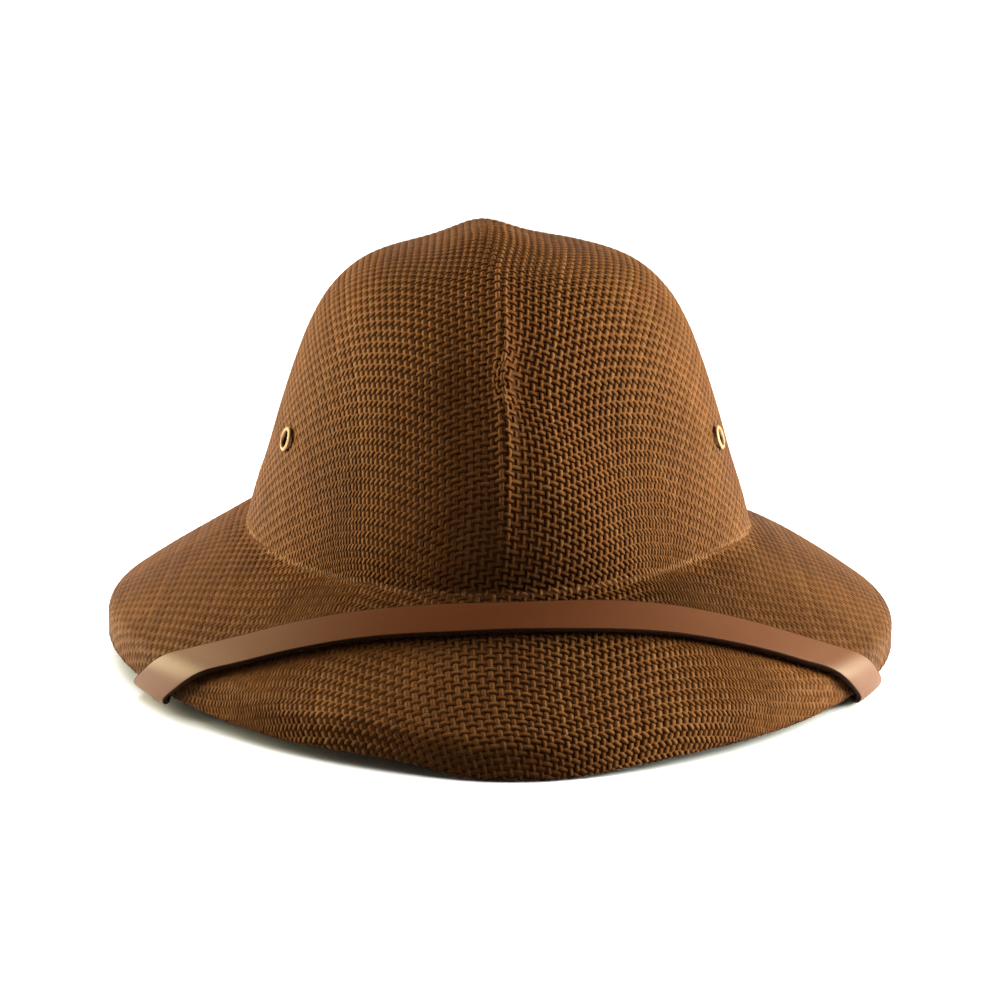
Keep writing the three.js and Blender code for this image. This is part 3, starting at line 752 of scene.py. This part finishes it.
def straw_material():
    """Twisted paper straw: each yarn a little lighter or darker, with fine fibres along it, a painted
    highlight along the crease and painted shade behind and below the strap.
    """
    nodes = Nodes("straw_yarn")
    tone = nodes.add("ShaderNodeAttribute", attribute_name="tone")
    yarn = nodes.ramp(tone, "Fac", [
        (0.0, (0.205, 0.075, 0.019)),
        (0.45, (0.250, 0.096, 0.026)),
        (0.8, (0.278, 0.111, 0.031)),
        (1.0, (0.310, 0.131, 0.040)),
    ])
    patches = nodes.noise(30, 2)
    patch = nodes.ramp(patches, "Fac", [(0.3, (0.80, 0.78, 0.76)), (0.7, (1.12, 1.12, 1.12))])
    colour = nodes.mix(yarn.outputs[0], patch.outputs[0], 1.0, "MULTIPLY")
    fibre = nodes.noise(1400, 3, 0.6)
    flecks = nodes.ramp(fibre, "Fac", [(0.3, (0.72, 0.70, 0.68)), (0.65, (1.12, 1.12, 1.12))])
    colour = nodes.mix(colour, flecks.outputs[0], 0.8, "MULTIPLY")
    # Painted light: a painted highlight along the crease, and painted shade behind and below the strap.
    painted_light = nodes.add("ShaderNodeAttribute", attribute_name="painted_light")
    highlight = nodes.ramp(fibre, "Fac", [(0.3, (0.36, 0.18, 0.07)), (0.7, (0.50, 0.27, 0.11))])
    amount = nodes.spread(painted_light, "Fac", 0.0, STRAW_PAINTED_HIGHLIGHT)
    colour = nodes.mix(colour, highlight.outputs[0], amount.outputs[0])
    shade = nodes.spread(painted_light, "Fac", STRAW_PAINTED_SHADE, 1.0)
    shade.inputs["From Min"].default_value = -1.0
    shade.inputs["From Max"].default_value = 0.0
    colour = nodes.mix(colour, shade.outputs[0], 1.0, "MULTIPLY")
    nodes.tree.links.new(colour, nodes.shader.inputs["Base Color"])
    gloss = nodes.spread(fibre, "Fac", 0.42, 0.68)
    nodes.join(gloss, "Result", nodes.shader, "Roughness")
    nodes.shader.inputs["Specular IOR Level"].default_value = 0.05
    nodes.shader.inputs["Specular Tint"].default_value = (1, 0.92, 0.75, 1)
    nodes.bump(fibre, "Fac", 0.5, 0.00012)
    return nodes.material


def gap_shade_material():
    """Dark colour of the layer behind the yarns: painted shade in the gaps between them."""
    nodes = Nodes("straw_gap_shade")
    tone = nodes.noise(300, 3)
    body = nodes.ramp(tone, "Fac", [(0.3, (0.115, 0.041, 0.013)), (0.7, (0.150, 0.055, 0.018))])
    nodes.join(body, "Color", nodes.shader, "Base Color")
    nodes.shader.inputs["Roughness"].default_value = 0.9
    nodes.shader.inputs["Specular IOR Level"].default_value = 0.1
    nodes.bump(tone, "Fac", 0.3, 0.0001)
    return nodes.material


def leather_material(name, deep, light, rough, gloss=0.55, sheen=0.2):
    """Smooth finished leather with faint clouding and a very fine grain."""
    nodes = Nodes(name)
    clouds = nodes.noise(22, 4, 0.55)
    body = nodes.ramp(clouds, "Fac", [(0.3, deep), (0.7, light)])
    grain = nodes.noise(900, 4, 0.6)
    speck = nodes.ramp(grain, "Fac", [(0.35, (0.93, 0.92, 0.91)), (0.6, (1.0, 1.0, 1.0))])
    colour = nodes.mix(body.outputs[0], speck.outputs[0], 1.0, "MULTIPLY")
    nodes.tree.links.new(colour, nodes.shader.inputs["Base Color"])
    nodes.shader.inputs["Specular IOR Level"].default_value = gloss
    nodes.shader.inputs["Specular Tint"].default_value = (1, 0.87, 0.55, 1)
    nodes.shader.inputs["Sheen Weight"].default_value = sheen
    nodes.shader.inputs["Sheen Roughness"].default_value = 0.4
    nodes.shader.inputs["Sheen Tint"].default_value = (1, 0.75, 0.35, 1)
    polish = nodes.spread(grain, "Fac", rough - 0.06, rough + 0.08)
    nodes.join(polish, "Result", nodes.shader, "Roughness")
    nodes.bump(grain, "Fac", 0.25, 0.00008)
    return nodes.material


def metal_material(name, dark, bright, rough):
    """Pressed brass with faint tarnish."""
    nodes = Nodes(name)
    tarnish = nodes.noise(260, 4, 0.6)
    body = nodes.ramp(tarnish, "Fac", [(0.3, dark), (0.65, bright)])
    nodes.join(body, "Color", nodes.shader, "Base Color")
    nodes.shader.inputs["Metallic"].default_value = 1.0
    gloss = nodes.spread(tarnish, "Fac", rough + 0.1, rough - 0.05)
    nodes.join(gloss, "Result", nodes.shader, "Roughness")
    nodes.bump(tarnish, "Fac", 0.15, 0.00005)
    return nodes.material


def floor_material():
    """Pale matt paint."""
    nodes = Nodes("floor_paint")
    tone = nodes.noise(3, 2)
    body = nodes.ramp(tone, "Fac", [(0.3, (0.86, 0.86, 0.86)), (0.7, (0.88, 0.88, 0.88))])
    nodes.join(body, "Color", nodes.shader, "Base Color")
    nodes.shader.inputs["Roughness"].default_value = 0.8
    nodes.shader.inputs["Specular IOR Level"].default_value = 0.1
    return nodes.material


# ---- chin strap ------------------------------------------------------------------------------------

STRAP_WIDTH = 12.7
STRAP_THICK = 1.8
STRAP_OFF = 1.2              # gap from the face to the strap's underside
STRAIGHT_DISTANCE = 25       # up from the rim's inner edge, from where it runs straight on
LEAVE_DISTANCE = -9          # where it leaves the face, under the brim
STRAP_END_OFF = 0.5          # how far its flat ends stand off the curved wall
TURN_STEP = 4                # degrees between rows over the brim
DOWN_STEP = 1.6              # millimetres between rows round the rim
PLAN_FOOT = -125.2           # the strap's line in plan, as strap_plan uses it
PLAN_SKEW = 0.010
PLAN_BEND = 17
PLAN_SPREAD = 0.349
# The loose run up to the crown: part of the way, sag, how far it has turned to face inward.
STRAP_RUN = [(0.25, 3, 0.2), (0.48, 6, 0.5)]
# The end on the wall: distance past the rivet and how far it stands off.
STRAP_END = [(-24, 6.5), (-15, 2.5), (-9, 0.4), (-5, 0), (0, 0), (8, 0)]
STRAP_LINES = np.linspace(-STRAP_WIDTH / 2, STRAP_WIDTH / 2, 7)
STRAP_MIDDLE = STRAP_OFF + STRAP_THICK / 2
STRAP_RINGS = 420            # along the whole strap
FLAT_POINTS = 11             # across its face, between the rounded edges
CORNER_POINTS = 5            # round each quarter of an edge
EDGE_RADIUS = 0.5
HALVINGS = 30                # in the search for a level
DOWN = np.array([0, 0, -1.0])
FACE_LEVELS = np.arange(RIM_INNER, APEX, 0.25)


def strap_level(theta):
    """Level at which the strap's middle line crosses the brim."""
    low, high = float(KNEE), float(CREASE)
    for _ in range(HALVINGS):
        middle = (low + high) / 2
        x, y, _ = skin(theta, middle)
        if y < strap_plan(x):
            low = middle
        else:
            high = middle
    return (low + high) / 2


def face_arc(theta):
    """Distances up the face from the rim's inner edge to each of FACE_LEVELS."""
    points = skin(theta, FACE_LEVELS)
    steps = np.linalg.norm(np.diff(points, axis=0), axis=-1)
    return np.concatenate([[0], np.cumsum(steps)])


def face_distance(theta, level):
    """Distance up the face from the rim's inner edge to a level."""
    return float(np.interp(level, FACE_LEVELS, face_arc(theta)))


def face_level(theta, distance):
    """Level at a distance up the face from the rim's inner edge."""
    return float(np.interp(max(distance, 0), face_arc(theta), FACE_LEVELS))


def round_length(theta, level):
    """Millimetres round the face for each radian."""
    return np.linalg.norm(skin(theta + 0.01, level) - skin(theta - 0.01, level)) / 0.02


def over_face(theta, distance):
    """Place and outward direction of the strap's middle surface on the face."""
    if distance <= 0:
        rim = skin(theta, RIM_INNER)
        inward = -unit(rim * (1, 1, 0))
        return rim - inward * distance + DOWN * STRAP_MIDDLE, DOWN
    level = face_level(theta, distance)
    face = skin_normal(np.array(theta), max(level, RIM_BOTTOM))
    if level < RIM_BOTTOM:
        face = unit(face + (DOWN - face) * (RIM_BOTTOM - level) / (RIM_BOTTOM - RIM_INNER))
    return skin(theta, level) + face * STRAP_MIDDLE, face


def strap_plan(x):
    """How far forward the strap's middle line lies in plan, at x."""
    return PLAN_FOOT + PLAN_SKEW * x + np.hypot(PLAN_BEND, PLAN_SPREAD * x) - PLAN_BEND


def middle_on_face(sign):
    """The strap's middle line on one side as theta and distance, from the front to under the rim."""
    line = []
    theta = 0.0
    distance = face_distance(theta, strap_level(theta))
    while distance > STRAIGHT_DISTANCE:
        line.append((theta, distance))
        theta += sign * math.radians(TURN_STEP)
        distance = face_distance(theta, strap_level(theta))
    before, (theta, distance) = line[-2], line.pop()
    length = round_length(theta, face_level(theta, distance))
    slant = (theta - before[0]) * length / (before[1] - distance)
    while distance > LEAVE_DISTANCE:
        line.append((theta, distance))
        distance -= DOWN_STEP
        theta += slant * DOWN_STEP / round_length(theta, face_level(theta, distance))
    return line


def hidden_run(under, sign):
    """Middle points and faces from under the rim to the strap's end inside the crown."""
    anchor = sign * math.radians(RIVET_ANGLE)
    inward = -skin_normal(np.array(anchor), RIVET_LEVEL)
    wall = skin(anchor, RIVET_LEVEL) + inward * (WALL + STRAP_MIDDLE + STRAP_END_OFF)
    run = wall - under
    along = unit(run - inward * (run @ inward))
    rows = [(under + run * part + DOWN * sag, unit(DOWN + (inward - DOWN) * swing))
            for part, sag, swing in STRAP_RUN]
    rows += [(wall + along * distance + inward * off, inward) for distance, off in STRAP_END]
    return rows


def strap_rows(sign):
    """Places and faces of each row across one side of the strap, from the front to its end."""
    line = middle_on_face(sign)
    rows = []
    for index, (theta, distance) in enumerate(line):
        before = line[max(index - 1, 0)]
        after = line[min(index + 1, len(line) - 1)]
        length = round_length(theta, face_level(theta, distance))
        heading = np.array([(after[0] - before[0]) * length,
                            after[1] - before[1] if index else 0.0])
        turn, up = unit(heading) * sign
        rows.append([over_face(theta - across * up / length, distance + across * turn)
                     for across in STRAP_LINES])
    last = rows[-1][len(STRAP_LINES) // 2][0]
    hidden = hidden_run(last, sign)
    for index, (place, face) in enumerate(hidden):
        before = hidden[index - 1][0] if index else last
        after = hidden[min(index + 1, len(hidden) - 1)][0]
        across = unit(np.cross(face, after - before)) * sign
        square = unit(np.cross(after - before, across)) * sign
        rows.append([(place + across * step, square) for step in STRAP_LINES])
    return rows


def strap_section():
    """The strap's rounded section as across and height, and which side pieces are cut edges."""
    half, thick = STRAP_WIDTH / 2, STRAP_THICK / 2
    corner = np.linspace(0, math.pi / 2, CORNER_POINTS)
    reach, rise = half - EDGE_RADIUS, thick - EDGE_RADIUS
    flat = np.linspace(-reach, reach, FLAT_POINTS + 2)[1:-1]
    loop, edge = [], []
    for across in flat:
        loop.append((across, thick))
        edge.append(False)
    for angle in corner:
        loop.append((reach + EDGE_RADIUS * math.sin(angle), rise + EDGE_RADIUS * math.cos(angle)))
        edge.append(True)
    for angle in corner:
        loop.append((reach + EDGE_RADIUS * math.cos(angle), -rise - EDGE_RADIUS * math.sin(angle)))
        edge.append(True)
    loop += [(-across, -height) for across, height in loop]
    edge += edge
    return np.array(loop), edge


def strap_geometry():
    """Points, faces and material numbers of the whole strap."""
    rows = strap_rows(-1)[:0:-1] + strap_rows(1)
    places = np.array([[place for place, _ in row] for row in rows])
    faces = np.array([[face for _, face in row] for row in rows])
    at = np.linspace(0, len(rows) - 1, STRAP_RINGS)
    lines = [through(places[:, line], at) for line in range(len(STRAP_LINES))]
    looks = [unit(through(faces[:, line], at)) for line in range(len(STRAP_LINES))]
    place_rows, look_rows = np.stack(lines), np.stack(looks)
    section, edge = strap_section()
    column = (section[:, 0] + STRAP_WIDTH / 2) / STRAP_WIDTH * (len(STRAP_LINES) - 1)
    flat_places = place_rows.reshape(len(STRAP_LINES), -1)
    flat_looks = look_rows.reshape(len(STRAP_LINES), -1)
    spots = through(flat_places, column).reshape(len(section), STRAP_RINGS, 3)
    ways = unit(through(flat_looks, column).reshape(len(section), STRAP_RINGS, 3))
    points = spots + ways * section[:, 1][:, None, None]
    points = points.transpose(1, 0, 2).reshape(-1, 3)
    count = len(section)
    quads, kinds = [], []
    for ring in range(STRAP_RINGS - 1):
        for corner in range(count):
            following = (corner + 1) % count
            base = ring * count
            quads.append((base + count + corner, base + count + following,
                          base + following, base + corner))
            is_edge = edge[corner] and edge[following]
            back = section[corner, 1] < 0 and section[following, 1] < 0
            kinds.append(1 if is_edge else (2 if back else 0))
    last = (STRAP_RINGS - 1) * count
    quads.append(tuple(range(count)))
    quads.append(tuple(last + corner for corner in range(count - 1, -1, -1)))
    kinds += [1, 1]
    return points, quads, kinds


# ---- eyelets and rivets ----------------------------------------------------------------------------

ROUND = 56                   # faces round each of them
EYELET_HOLE = 6.0
EYELET_BARREL = 6.8
EYELET_FLANGE = 9.2
EYELET_DISH = 0.15           # extra room under the inner flange, as the shell is curved
BORE_EDGE = 0.12             # how far the painted shade in the bore comes out over its edge
VISIBLE_WALL = 1.5           # of the woven shell, where the solid wall is thicker
CLEARANCE = 0.3              # under every head and flange
RIVET_HEAD = 9.0
RIVET_CROWN = 1.6
RIVET_SHANK = 3.4
RIVET_TAIL = 6.4
RIVET_CORE = 0.02            # radius of the pinhole that closes its section
CUT = 0.2                    # part of each side that one pass of rounding off takes from a corner


def turned(section, place, normal):
    """Points and quads of a closed section of radius and height turned about a normal."""
    points = []
    helper = np.array([0, 0, 1.0])
    across = unit(np.cross(helper, normal))
    other = np.cross(normal, across)
    for step in range(ROUND):
        angle = 2 * math.pi * step / ROUND
        way = across * math.cos(angle) + other * math.sin(angle)
        for radius, height in section:
            points.append(place + way * radius + normal * height)
    count = len(section)
    quads = []
    for step in range(ROUND):
        base, following = step * count, (step + 1) % ROUND * count
        for corner in range(count):
            beside = (corner + 1) % count
            quads.append((base + corner, following + corner, following + beside, base + beside))
    return np.array(points), quads


def softened(section):
    """A closed section rounded off by two passes of corner cutting."""
    points = np.array(section, float)
    for _ in range(2):
        after = np.roll(points, -1, 0)
        ends = [points * (1 - CUT) + after * CUT, points * CUT + after * (1 - CUT)]
        points = np.stack(ends, 1).reshape(-1, 2)
    return points


def eyelet_section():
    """Radius and height round an eyelet's wall: a flange inside, the barrel, a rolled flange."""
    hole, barrel, flange = EYELET_HOLE / 2, EYELET_BARREL / 2, EYELET_FLANGE / 2
    inner = -VISIBLE_WALL - CLEARANCE - EYELET_DISH
    outer = CLEARANCE
    return softened([
        (hole, inner - 0.35), (hole + 0.35, inner - 0.7), (flange - 0.7, inner - 0.6),
        (flange - 0.5, inner - 0.2), (flange - 0.8, inner), (barrel, inner), (barrel, outer),
        (flange - 0.3, outer), (flange, outer + 0.25), (flange - 0.35, outer + 0.6),
        (barrel + 0.3, outer + 0.9), (hole + 0.4, outer + 0.75), (hole, outer + 0.3),
    ])


def bore_faces(section):
    """For each face of a turned eyelet, 1 inside its bore and 0 elsewhere."""
    reach = EYELET_HOLE / 2 + BORE_EDGE
    inside = (section[:, 0] < reach) & (section[:, 1] < CLEARANCE)
    return [int(here and there) for here, there in zip(inside, np.roll(inside, -1))] * ROUND


def rivet_section():
    """Radius and height round a rivet: a domed head inside, the shank, a low dome outside."""
    shank, head, tail = RIVET_SHANK / 2, RIVET_HEAD / 2, RIVET_TAIL / 2
    outer = CLEARANCE
    inner = -WALL - STRAP_MIDDLE - STRAP_END_OFF - STRAP_THICK / 2 - CLEARANCE
    return softened([
        (RIVET_CORE, inner - RIVET_CROWN), (head * 0.55, inner - RIVET_CROWN * 0.8),
        (head, inner - 0.5), (head, inner), (shank, inner), (shank, outer), (tail, outer),
        (tail, outer + 0.5), (tail * 0.6, outer + 1.1), (RIVET_CORE, outer + 1.2),
    ])


# ---- the add-on --------------------------------------------------------------------------------------


class HelmetSettings(bpy.types.PropertyGroup):
    """Finish of the helmet."""

    light_power: bpy.props.FloatProperty(
        name="Light", description="Strength of the studio lights", default=1.0, min=0.1, max=5.0)
    strap_roughness: bpy.props.FloatProperty(
        name="Strap roughness", description="How matt the strap's face is", default=0.5,
        min=0.1, max=1.0, subtype="FACTOR")
    view_distance: bpy.props.FloatProperty(
        name="View distance", description="From the camera to the helmet's middle", default=1.0,
        min=0.5, max=4.0, unit="LENGTH")


def finish_piece(piece, slot, *nodes):
    """Hides the nodes that a finished piece stands for, and attaches it to the root body."""
    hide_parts(*nodes)
    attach(piece, "root")


def weave(warps, names):
    """Makes one set of yarns, shared out evenly over pieces with the given names."""
    rings = yarn_rings(warps)
    straw = bpy.data.materials.get("straw_yarn") or straw_material()
    used = [yarn for yarn in range(len(rings["tone"])) if runs_inside(rings["inside"][yarn])]
    lengths = np.array([(rings["inside"][yarn] > 0).sum() for yarn in used])
    share = np.cumsum(lengths) / lengths.sum() * len(names)
    for number, name in enumerate(names):
        chosen = [yarn for yarn, part in zip(used, share) if number < part <= number + 1]
        points, quads, tones, painted_light, facing = yarn_mesh(rings, chosen)
        piece = mesh_object(name, points, quads, [straw])
        for label, values in (("tone", tones), ("painted_light", painted_light)):
            layer = piece.data.attributes.new(label, "FLOAT", "POINT")
            layer.data.foreach_set("value", values.astype(np.float32))
        piece.data.normals_split_custom_set_from_vertices(facing.tolist())
        finish_piece(piece, "straw", "straw_shell")


class HELMET_OT_warps(bpy.types.Operator):
    """Weaves the yarns that run from front to back"""

    bl_idname = "helmet.warps"
    bl_label = "Front-to-back yarns"

    def execute(self, context):
        weave(True, ["straw_warp_left", "straw_warp_middle", "straw_warp_right"])
        return {"FINISHED"}


class HELMET_OT_wefts(bpy.types.Operator):
    """Weaves the yarns that run from side to side"""

    bl_idname = "helmet.wefts"
    bl_label = "Side-to-side yarns"

    def execute(self, context):
        weave(False, ["straw_weft_front", "straw_weft_middle", "straw_weft_back"])
        return {"FINISHED"}


CUTTER_CORE = 0.01           # radius of the pinhole that closes a cutter's section
CUTTER_REACH = 6             # each side of the face


def bored(piece, bores):
    """Cuts round holes through a piece, square to the face. Each is an angle, a level and a radius."""
    for number, (angle, level, radius) in enumerate(bores):
        theta = np.array(math.radians(angle))
        normal = skin_normal(theta, level)
        section = [(CUTTER_CORE, -CUTTER_REACH), (radius, -CUTTER_REACH),
                   (radius, CUTTER_REACH), (CUTTER_CORE, CUTTER_REACH)]
        points, quads = turned(section, skin(theta, level), normal)
        cutter = mesh_object(f"bore_{number}", points, quads, [])
        cut = piece.modifiers.new("bore", "BOOLEAN")
        cut.operation = "DIFFERENCE"
        cut.solver = "EXACT"
        cut.object = cutter
        solid = bpy.data.meshes.new_from_object(
            piece.evaluated_get(bpy.context.evaluated_depsgraph_get()))
        piece.modifiers.clear()
        spare = piece.data
        piece.data = solid
        bpy.data.meshes.remove(spare)
        bpy.data.objects.remove(cutter)


class HELMET_OT_ground(bpy.types.Operator):
    """Makes the thin dark layer behind the weave's gaps, its colour painted shade"""

    bl_idname = "helmet.ground"
    bl_label = "Ground of the weave"

    def execute(self, context):
        points, faces = ground_geometry()
        piece = mesh_object("straw_gap_shade", points, faces, [gap_shade_material()])
        bored(piece, GROUND_HOLES)
        finish_piece(piece, "straw", "straw_shell")
        return {"FINISHED"}


class HELMET_OT_strap(bpy.types.Operator):
    """Makes the leather strap over the brim"""

    bl_idname = "helmet.strap"
    bl_label = "Chin strap"

    def execute(self, context):
        rough = context.scene.helmet.strap_roughness
        points, faces, kinds = strap_geometry()
        materials = [
            leather_material("leather_face", (0.175, 0.039, 0.0090), (0.200, 0.048, 0.0110), rough),
            leather_material("leather_edge", (0.030, 0.012, 0.006), (0.050, 0.020, 0.010), 0.8,
                             gloss=0.1, sheen=0.0),
            leather_material("leather_back", (0.120, 0.060, 0.032), (0.170, 0.090, 0.050), 0.8),
        ]
        piece = mesh_object("strap_leather", points, faces, materials, kinds)
        finish_piece(piece, "leather", "chin_strap")
        return {"FINISHED"}


class HELMET_OT_metal(bpy.types.Operator):
    """Makes the vent eyelets and the strap's rivets"""

    bl_idname = "helmet.metal"
    bl_label = "Eyelets and rivets"

    def execute(self, context):
        brass = metal_material("eyelet_brass", (0.46, 0.29, 0.15), (0.58, 0.38, 0.21), 0.62)
        # The bore's dark metal is painted shade inside the eyelet's hole.
        bore_shade = metal_material("bore_painted_shade", (0.050, 0.026, 0.012), (0.090, 0.050, 0.022), 0.7)
        rivet_brass = metal_material("rivet_metal", (0.34, 0.23, 0.11), (0.47, 0.34, 0.18), 0.38)
        eyelet, rivet = eyelet_section(), rivet_section()
        plain = [0] * len(rivet) * ROUND
        kinds = [
            ("eyelet", eyelet, bore_faces(eyelet), EYELET_ANGLE, EYELET_LEVEL,
             [brass, bore_shade], "brass"),
            ("strap_rivet", rivet, plain, RIVET_ANGLE, RIVET_LEVEL, [rivet_brass], "rivet_brass"),
        ]
        for kind, section, indices, angle, level, materials, slot in kinds:
            for side, sign in (("left", -1), ("right", 1)):
                theta = np.array(sign * math.radians(angle))
                points, quads = turned(section, skin(theta, level), skin_normal(theta, level))
                piece = mesh_object(f"{kind}_{side}_round", points, quads, materials, indices)
                finish_piece(piece, slot, f"{kind}_{side}")
        return {"FINISHED"}


# Angles in degrees, the height aimed at in millimetres, the lens in millimetres.
CAMERA = {"azimuth": -2.75, "elevation": 11.9, "roll": 0.3, "aim": 75.0, "lens": 96.2,
          "shift": (0.0015, -0.0549)}
# Name, azimuth, elevation, distance, width, height, power, colour. Metres and watts.
LIGHTS = [
    ("left_softbox", -110, 12, 1.1, 0.6, 0.8, 23.0, (1.0, 0.94, 0.68)),
    ("right_softbox", 94, 6, 1.1, 0.6, 0.8, 31.5, (1.0, 0.99, 0.84)),
    ("right_fill", 50, 40, 1.1, 0.5, 0.7, 3.5, (0.97, 0.99, 1.0)),
]
FLOOR_LIGHT = {"height": 2.4, "size": 3.4, "power": 170.0}   # it lights nothing but the floor
AIM_HEIGHT = 0.08            # of the point that the lights face
SKY_STRENGTH = 0.03
# Metres: half the width, front edge, where it starts to rise, the bend's radius, top edge.
SWEEP = {"half": 4.0, "near": -3.0, "far": 1.8, "radius": 0.9, "top": 3.4}
SWEEP_STEPS = 16


def looking(place, aim):
    """Rotation that points a light's -Z from place to aim."""
    way = np.array(aim, float) - np.array(place, float)
    back = -way / np.linalg.norm(way)
    right = unit(np.cross((0, 0, 1.0), back))
    up = np.cross(back, right)
    turn = Matrix([list(row) for row in np.stack([right, up, back], 1)]).to_4x4()
    turn.translation = place
    return turn


def area_light(name, place, aim, width, height, power, colour):
    """A softbox at a place, facing aim."""
    light = bpy.data.lights.new(name, "AREA")
    light.shape = "RECTANGLE"
    light.size = width
    light.size_y = height
    light.energy = power
    light.color = colour
    lamp = bpy.data.objects.new(name, light)
    lamp.matrix_world = looking(place, aim)
    bpy.context.scene.collection.objects.link(lamp)
    return lamp


def sweep_mesh():
    """A floor that curves up into a backdrop."""
    half, near, far, radius, top = SWEEP.values()
    line = [(near, 0.0), (far, 0.0)]
    for angle in np.linspace(0, math.pi / 2, SWEEP_STEPS + 1)[1:]:
        line.append((far + radius * math.sin(angle), radius - radius * math.cos(angle)))
    line.append((far + radius, top))
    points = [(side * half / MM, y / MM, z / MM) for y, z in line for side in (-1, 1)]
    quads = [(2 * row, 2 * row + 1, 2 * row + 3, 2 * row + 2) for row in range(len(line) - 1)]
    return points, quads


def studio_lights(floor, strength):
    """The softboxes and the floor's own light."""
    for name, azimuth, elevation, distance, width, height, power, colour in LIGHTS:
        turn, lift = math.radians(azimuth), math.radians(elevation)
        place = (distance * math.sin(turn) * math.cos(lift),
                 -distance * math.cos(turn) * math.cos(lift),
                 AIM_HEIGHT + distance * math.sin(lift))
        area_light(name, place, (0, 0, AIM_HEIGHT), width, height, power * strength, colour)
    wash = area_light("floor_light", (0, 0.4, FLOOR_LIGHT["height"]), (0, 0.41, 0),
                      FLOOR_LIGHT["size"], FLOOR_LIGHT["size"], FLOOR_LIGHT["power"], (1, 1, 1))
    only_floor = bpy.data.collections.new("lit_by_floor_light")
    only_floor.objects.link(floor)
    wash.light_linking.receiver_collection = only_floor


def studio_world(scene):
    """A faint even light from all round."""
    world = bpy.data.worlds.new("studio")
    world.use_nodes = True
    sky = world.node_tree.nodes["Background"]
    sky.inputs["Color"].default_value = (1, 1, 1, 1)
    sky.inputs["Strength"].default_value = SKY_STRENGTH
    scene.world = world
    scene.view_settings.view_transform = "Standard"


def studio_camera(scene, distance):
    """The camera, at its angle and at a distance from the point it is aimed at."""
    camera = bpy.data.cameras.new("camera")
    camera.lens = CAMERA["lens"]
    camera.shift_x, camera.shift_y = CAMERA["shift"]
    turn, lift, roll = (math.radians(CAMERA[key]) for key in ("azimuth", "elevation", "roll"))
    back = np.array([math.sin(turn) * math.cos(lift), -math.cos(turn) * math.cos(lift),
                     math.sin(lift)])
    right = unit(np.cross(-back, (0, 0, 1.0)))
    up = np.cross(right, -back)
    rolled = right * math.cos(roll) + up * math.sin(roll)
    tilted = up * math.cos(roll) - right * math.sin(roll)
    matrix = Matrix([list(row) for row in np.stack([rolled, tilted, back], 1)]).to_4x4()
    aim = np.array([0, 0, CAMERA["aim"] * MM])
    matrix.translation = aim + back * distance
    viewer = bpy.data.objects.new("camera", camera)
    viewer.matrix_world = matrix
    scene.collection.objects.link(viewer)
    return viewer


class HELMET_OT_stage(bpy.types.Operator):
    """Sets up the floor, the lights and the camera"""

    bl_idname = "helmet.stage"
    bl_label = "Studio"

    def execute(self, context):
        settings = context.scene.helmet
        points, quads = sweep_mesh()
        floor = mesh_object("studio_floor", points, quads, [floor_material()])
        floor.visible_diffuse = False
        studio_lights(floor, settings.light_power)
        studio_world(context.scene)
        bpy.context.scene.camera = studio_camera(context.scene, settings.view_distance)
        return {"FINISHED"}


class HELMET_PT_panel(bpy.types.Panel):
    """Buttons that build the helmet."""

    bl_label = "Sun Helmet"
    bl_idname = "HELMET_PT_panel"
    bl_space_type = "VIEW_3D"
    bl_region_type = "UI"
    bl_category = "Sun Helmet"

    def draw(self, context):
        layout = self.layout
        settings = context.scene.helmet
        layout.prop(settings, "light_power")
        layout.prop(settings, "strap_roughness")
        layout.prop(settings, "view_distance")
        for operator in OPERATORS:
            layout.operator(operator.bl_idname)


OPERATORS = (
    HELMET_OT_warps,
    HELMET_OT_wefts,
    HELMET_OT_ground,
    HELMET_OT_strap,
    HELMET_OT_metal,
    HELMET_OT_stage,
)


def register():
    """Registers the settings, the operators and the panel."""
    bpy.utils.register_class(HelmetSettings)
    bpy.types.Scene.helmet = bpy.props.PointerProperty(type=HelmetSettings)
    for operator in OPERATORS:
        bpy.utils.register_class(operator)
    bpy.utils.register_class(HELMET_PT_panel)


def unregister():
    """Takes them out again, last one first."""
    bpy.utils.unregister_class(HELMET_PT_panel)
    for operator in reversed(OPERATORS):
        bpy.utils.unregister_class(operator)
    del bpy.types.Scene.helmet
    bpy.utils.unregister_class(HelmetSettings)


def main():
    """Builds the helmet and its stage."""
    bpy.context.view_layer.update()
    register()
    bpy.ops.helmet.warps()
    bpy.ops.helmet.wefts()
    bpy.ops.helmet.ground()
    bpy.ops.helmet.strap()
    bpy.ops.helmet.metal()
    bpy.ops.helmet.stage()
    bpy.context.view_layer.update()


if __name__ == "__main__":
    main()
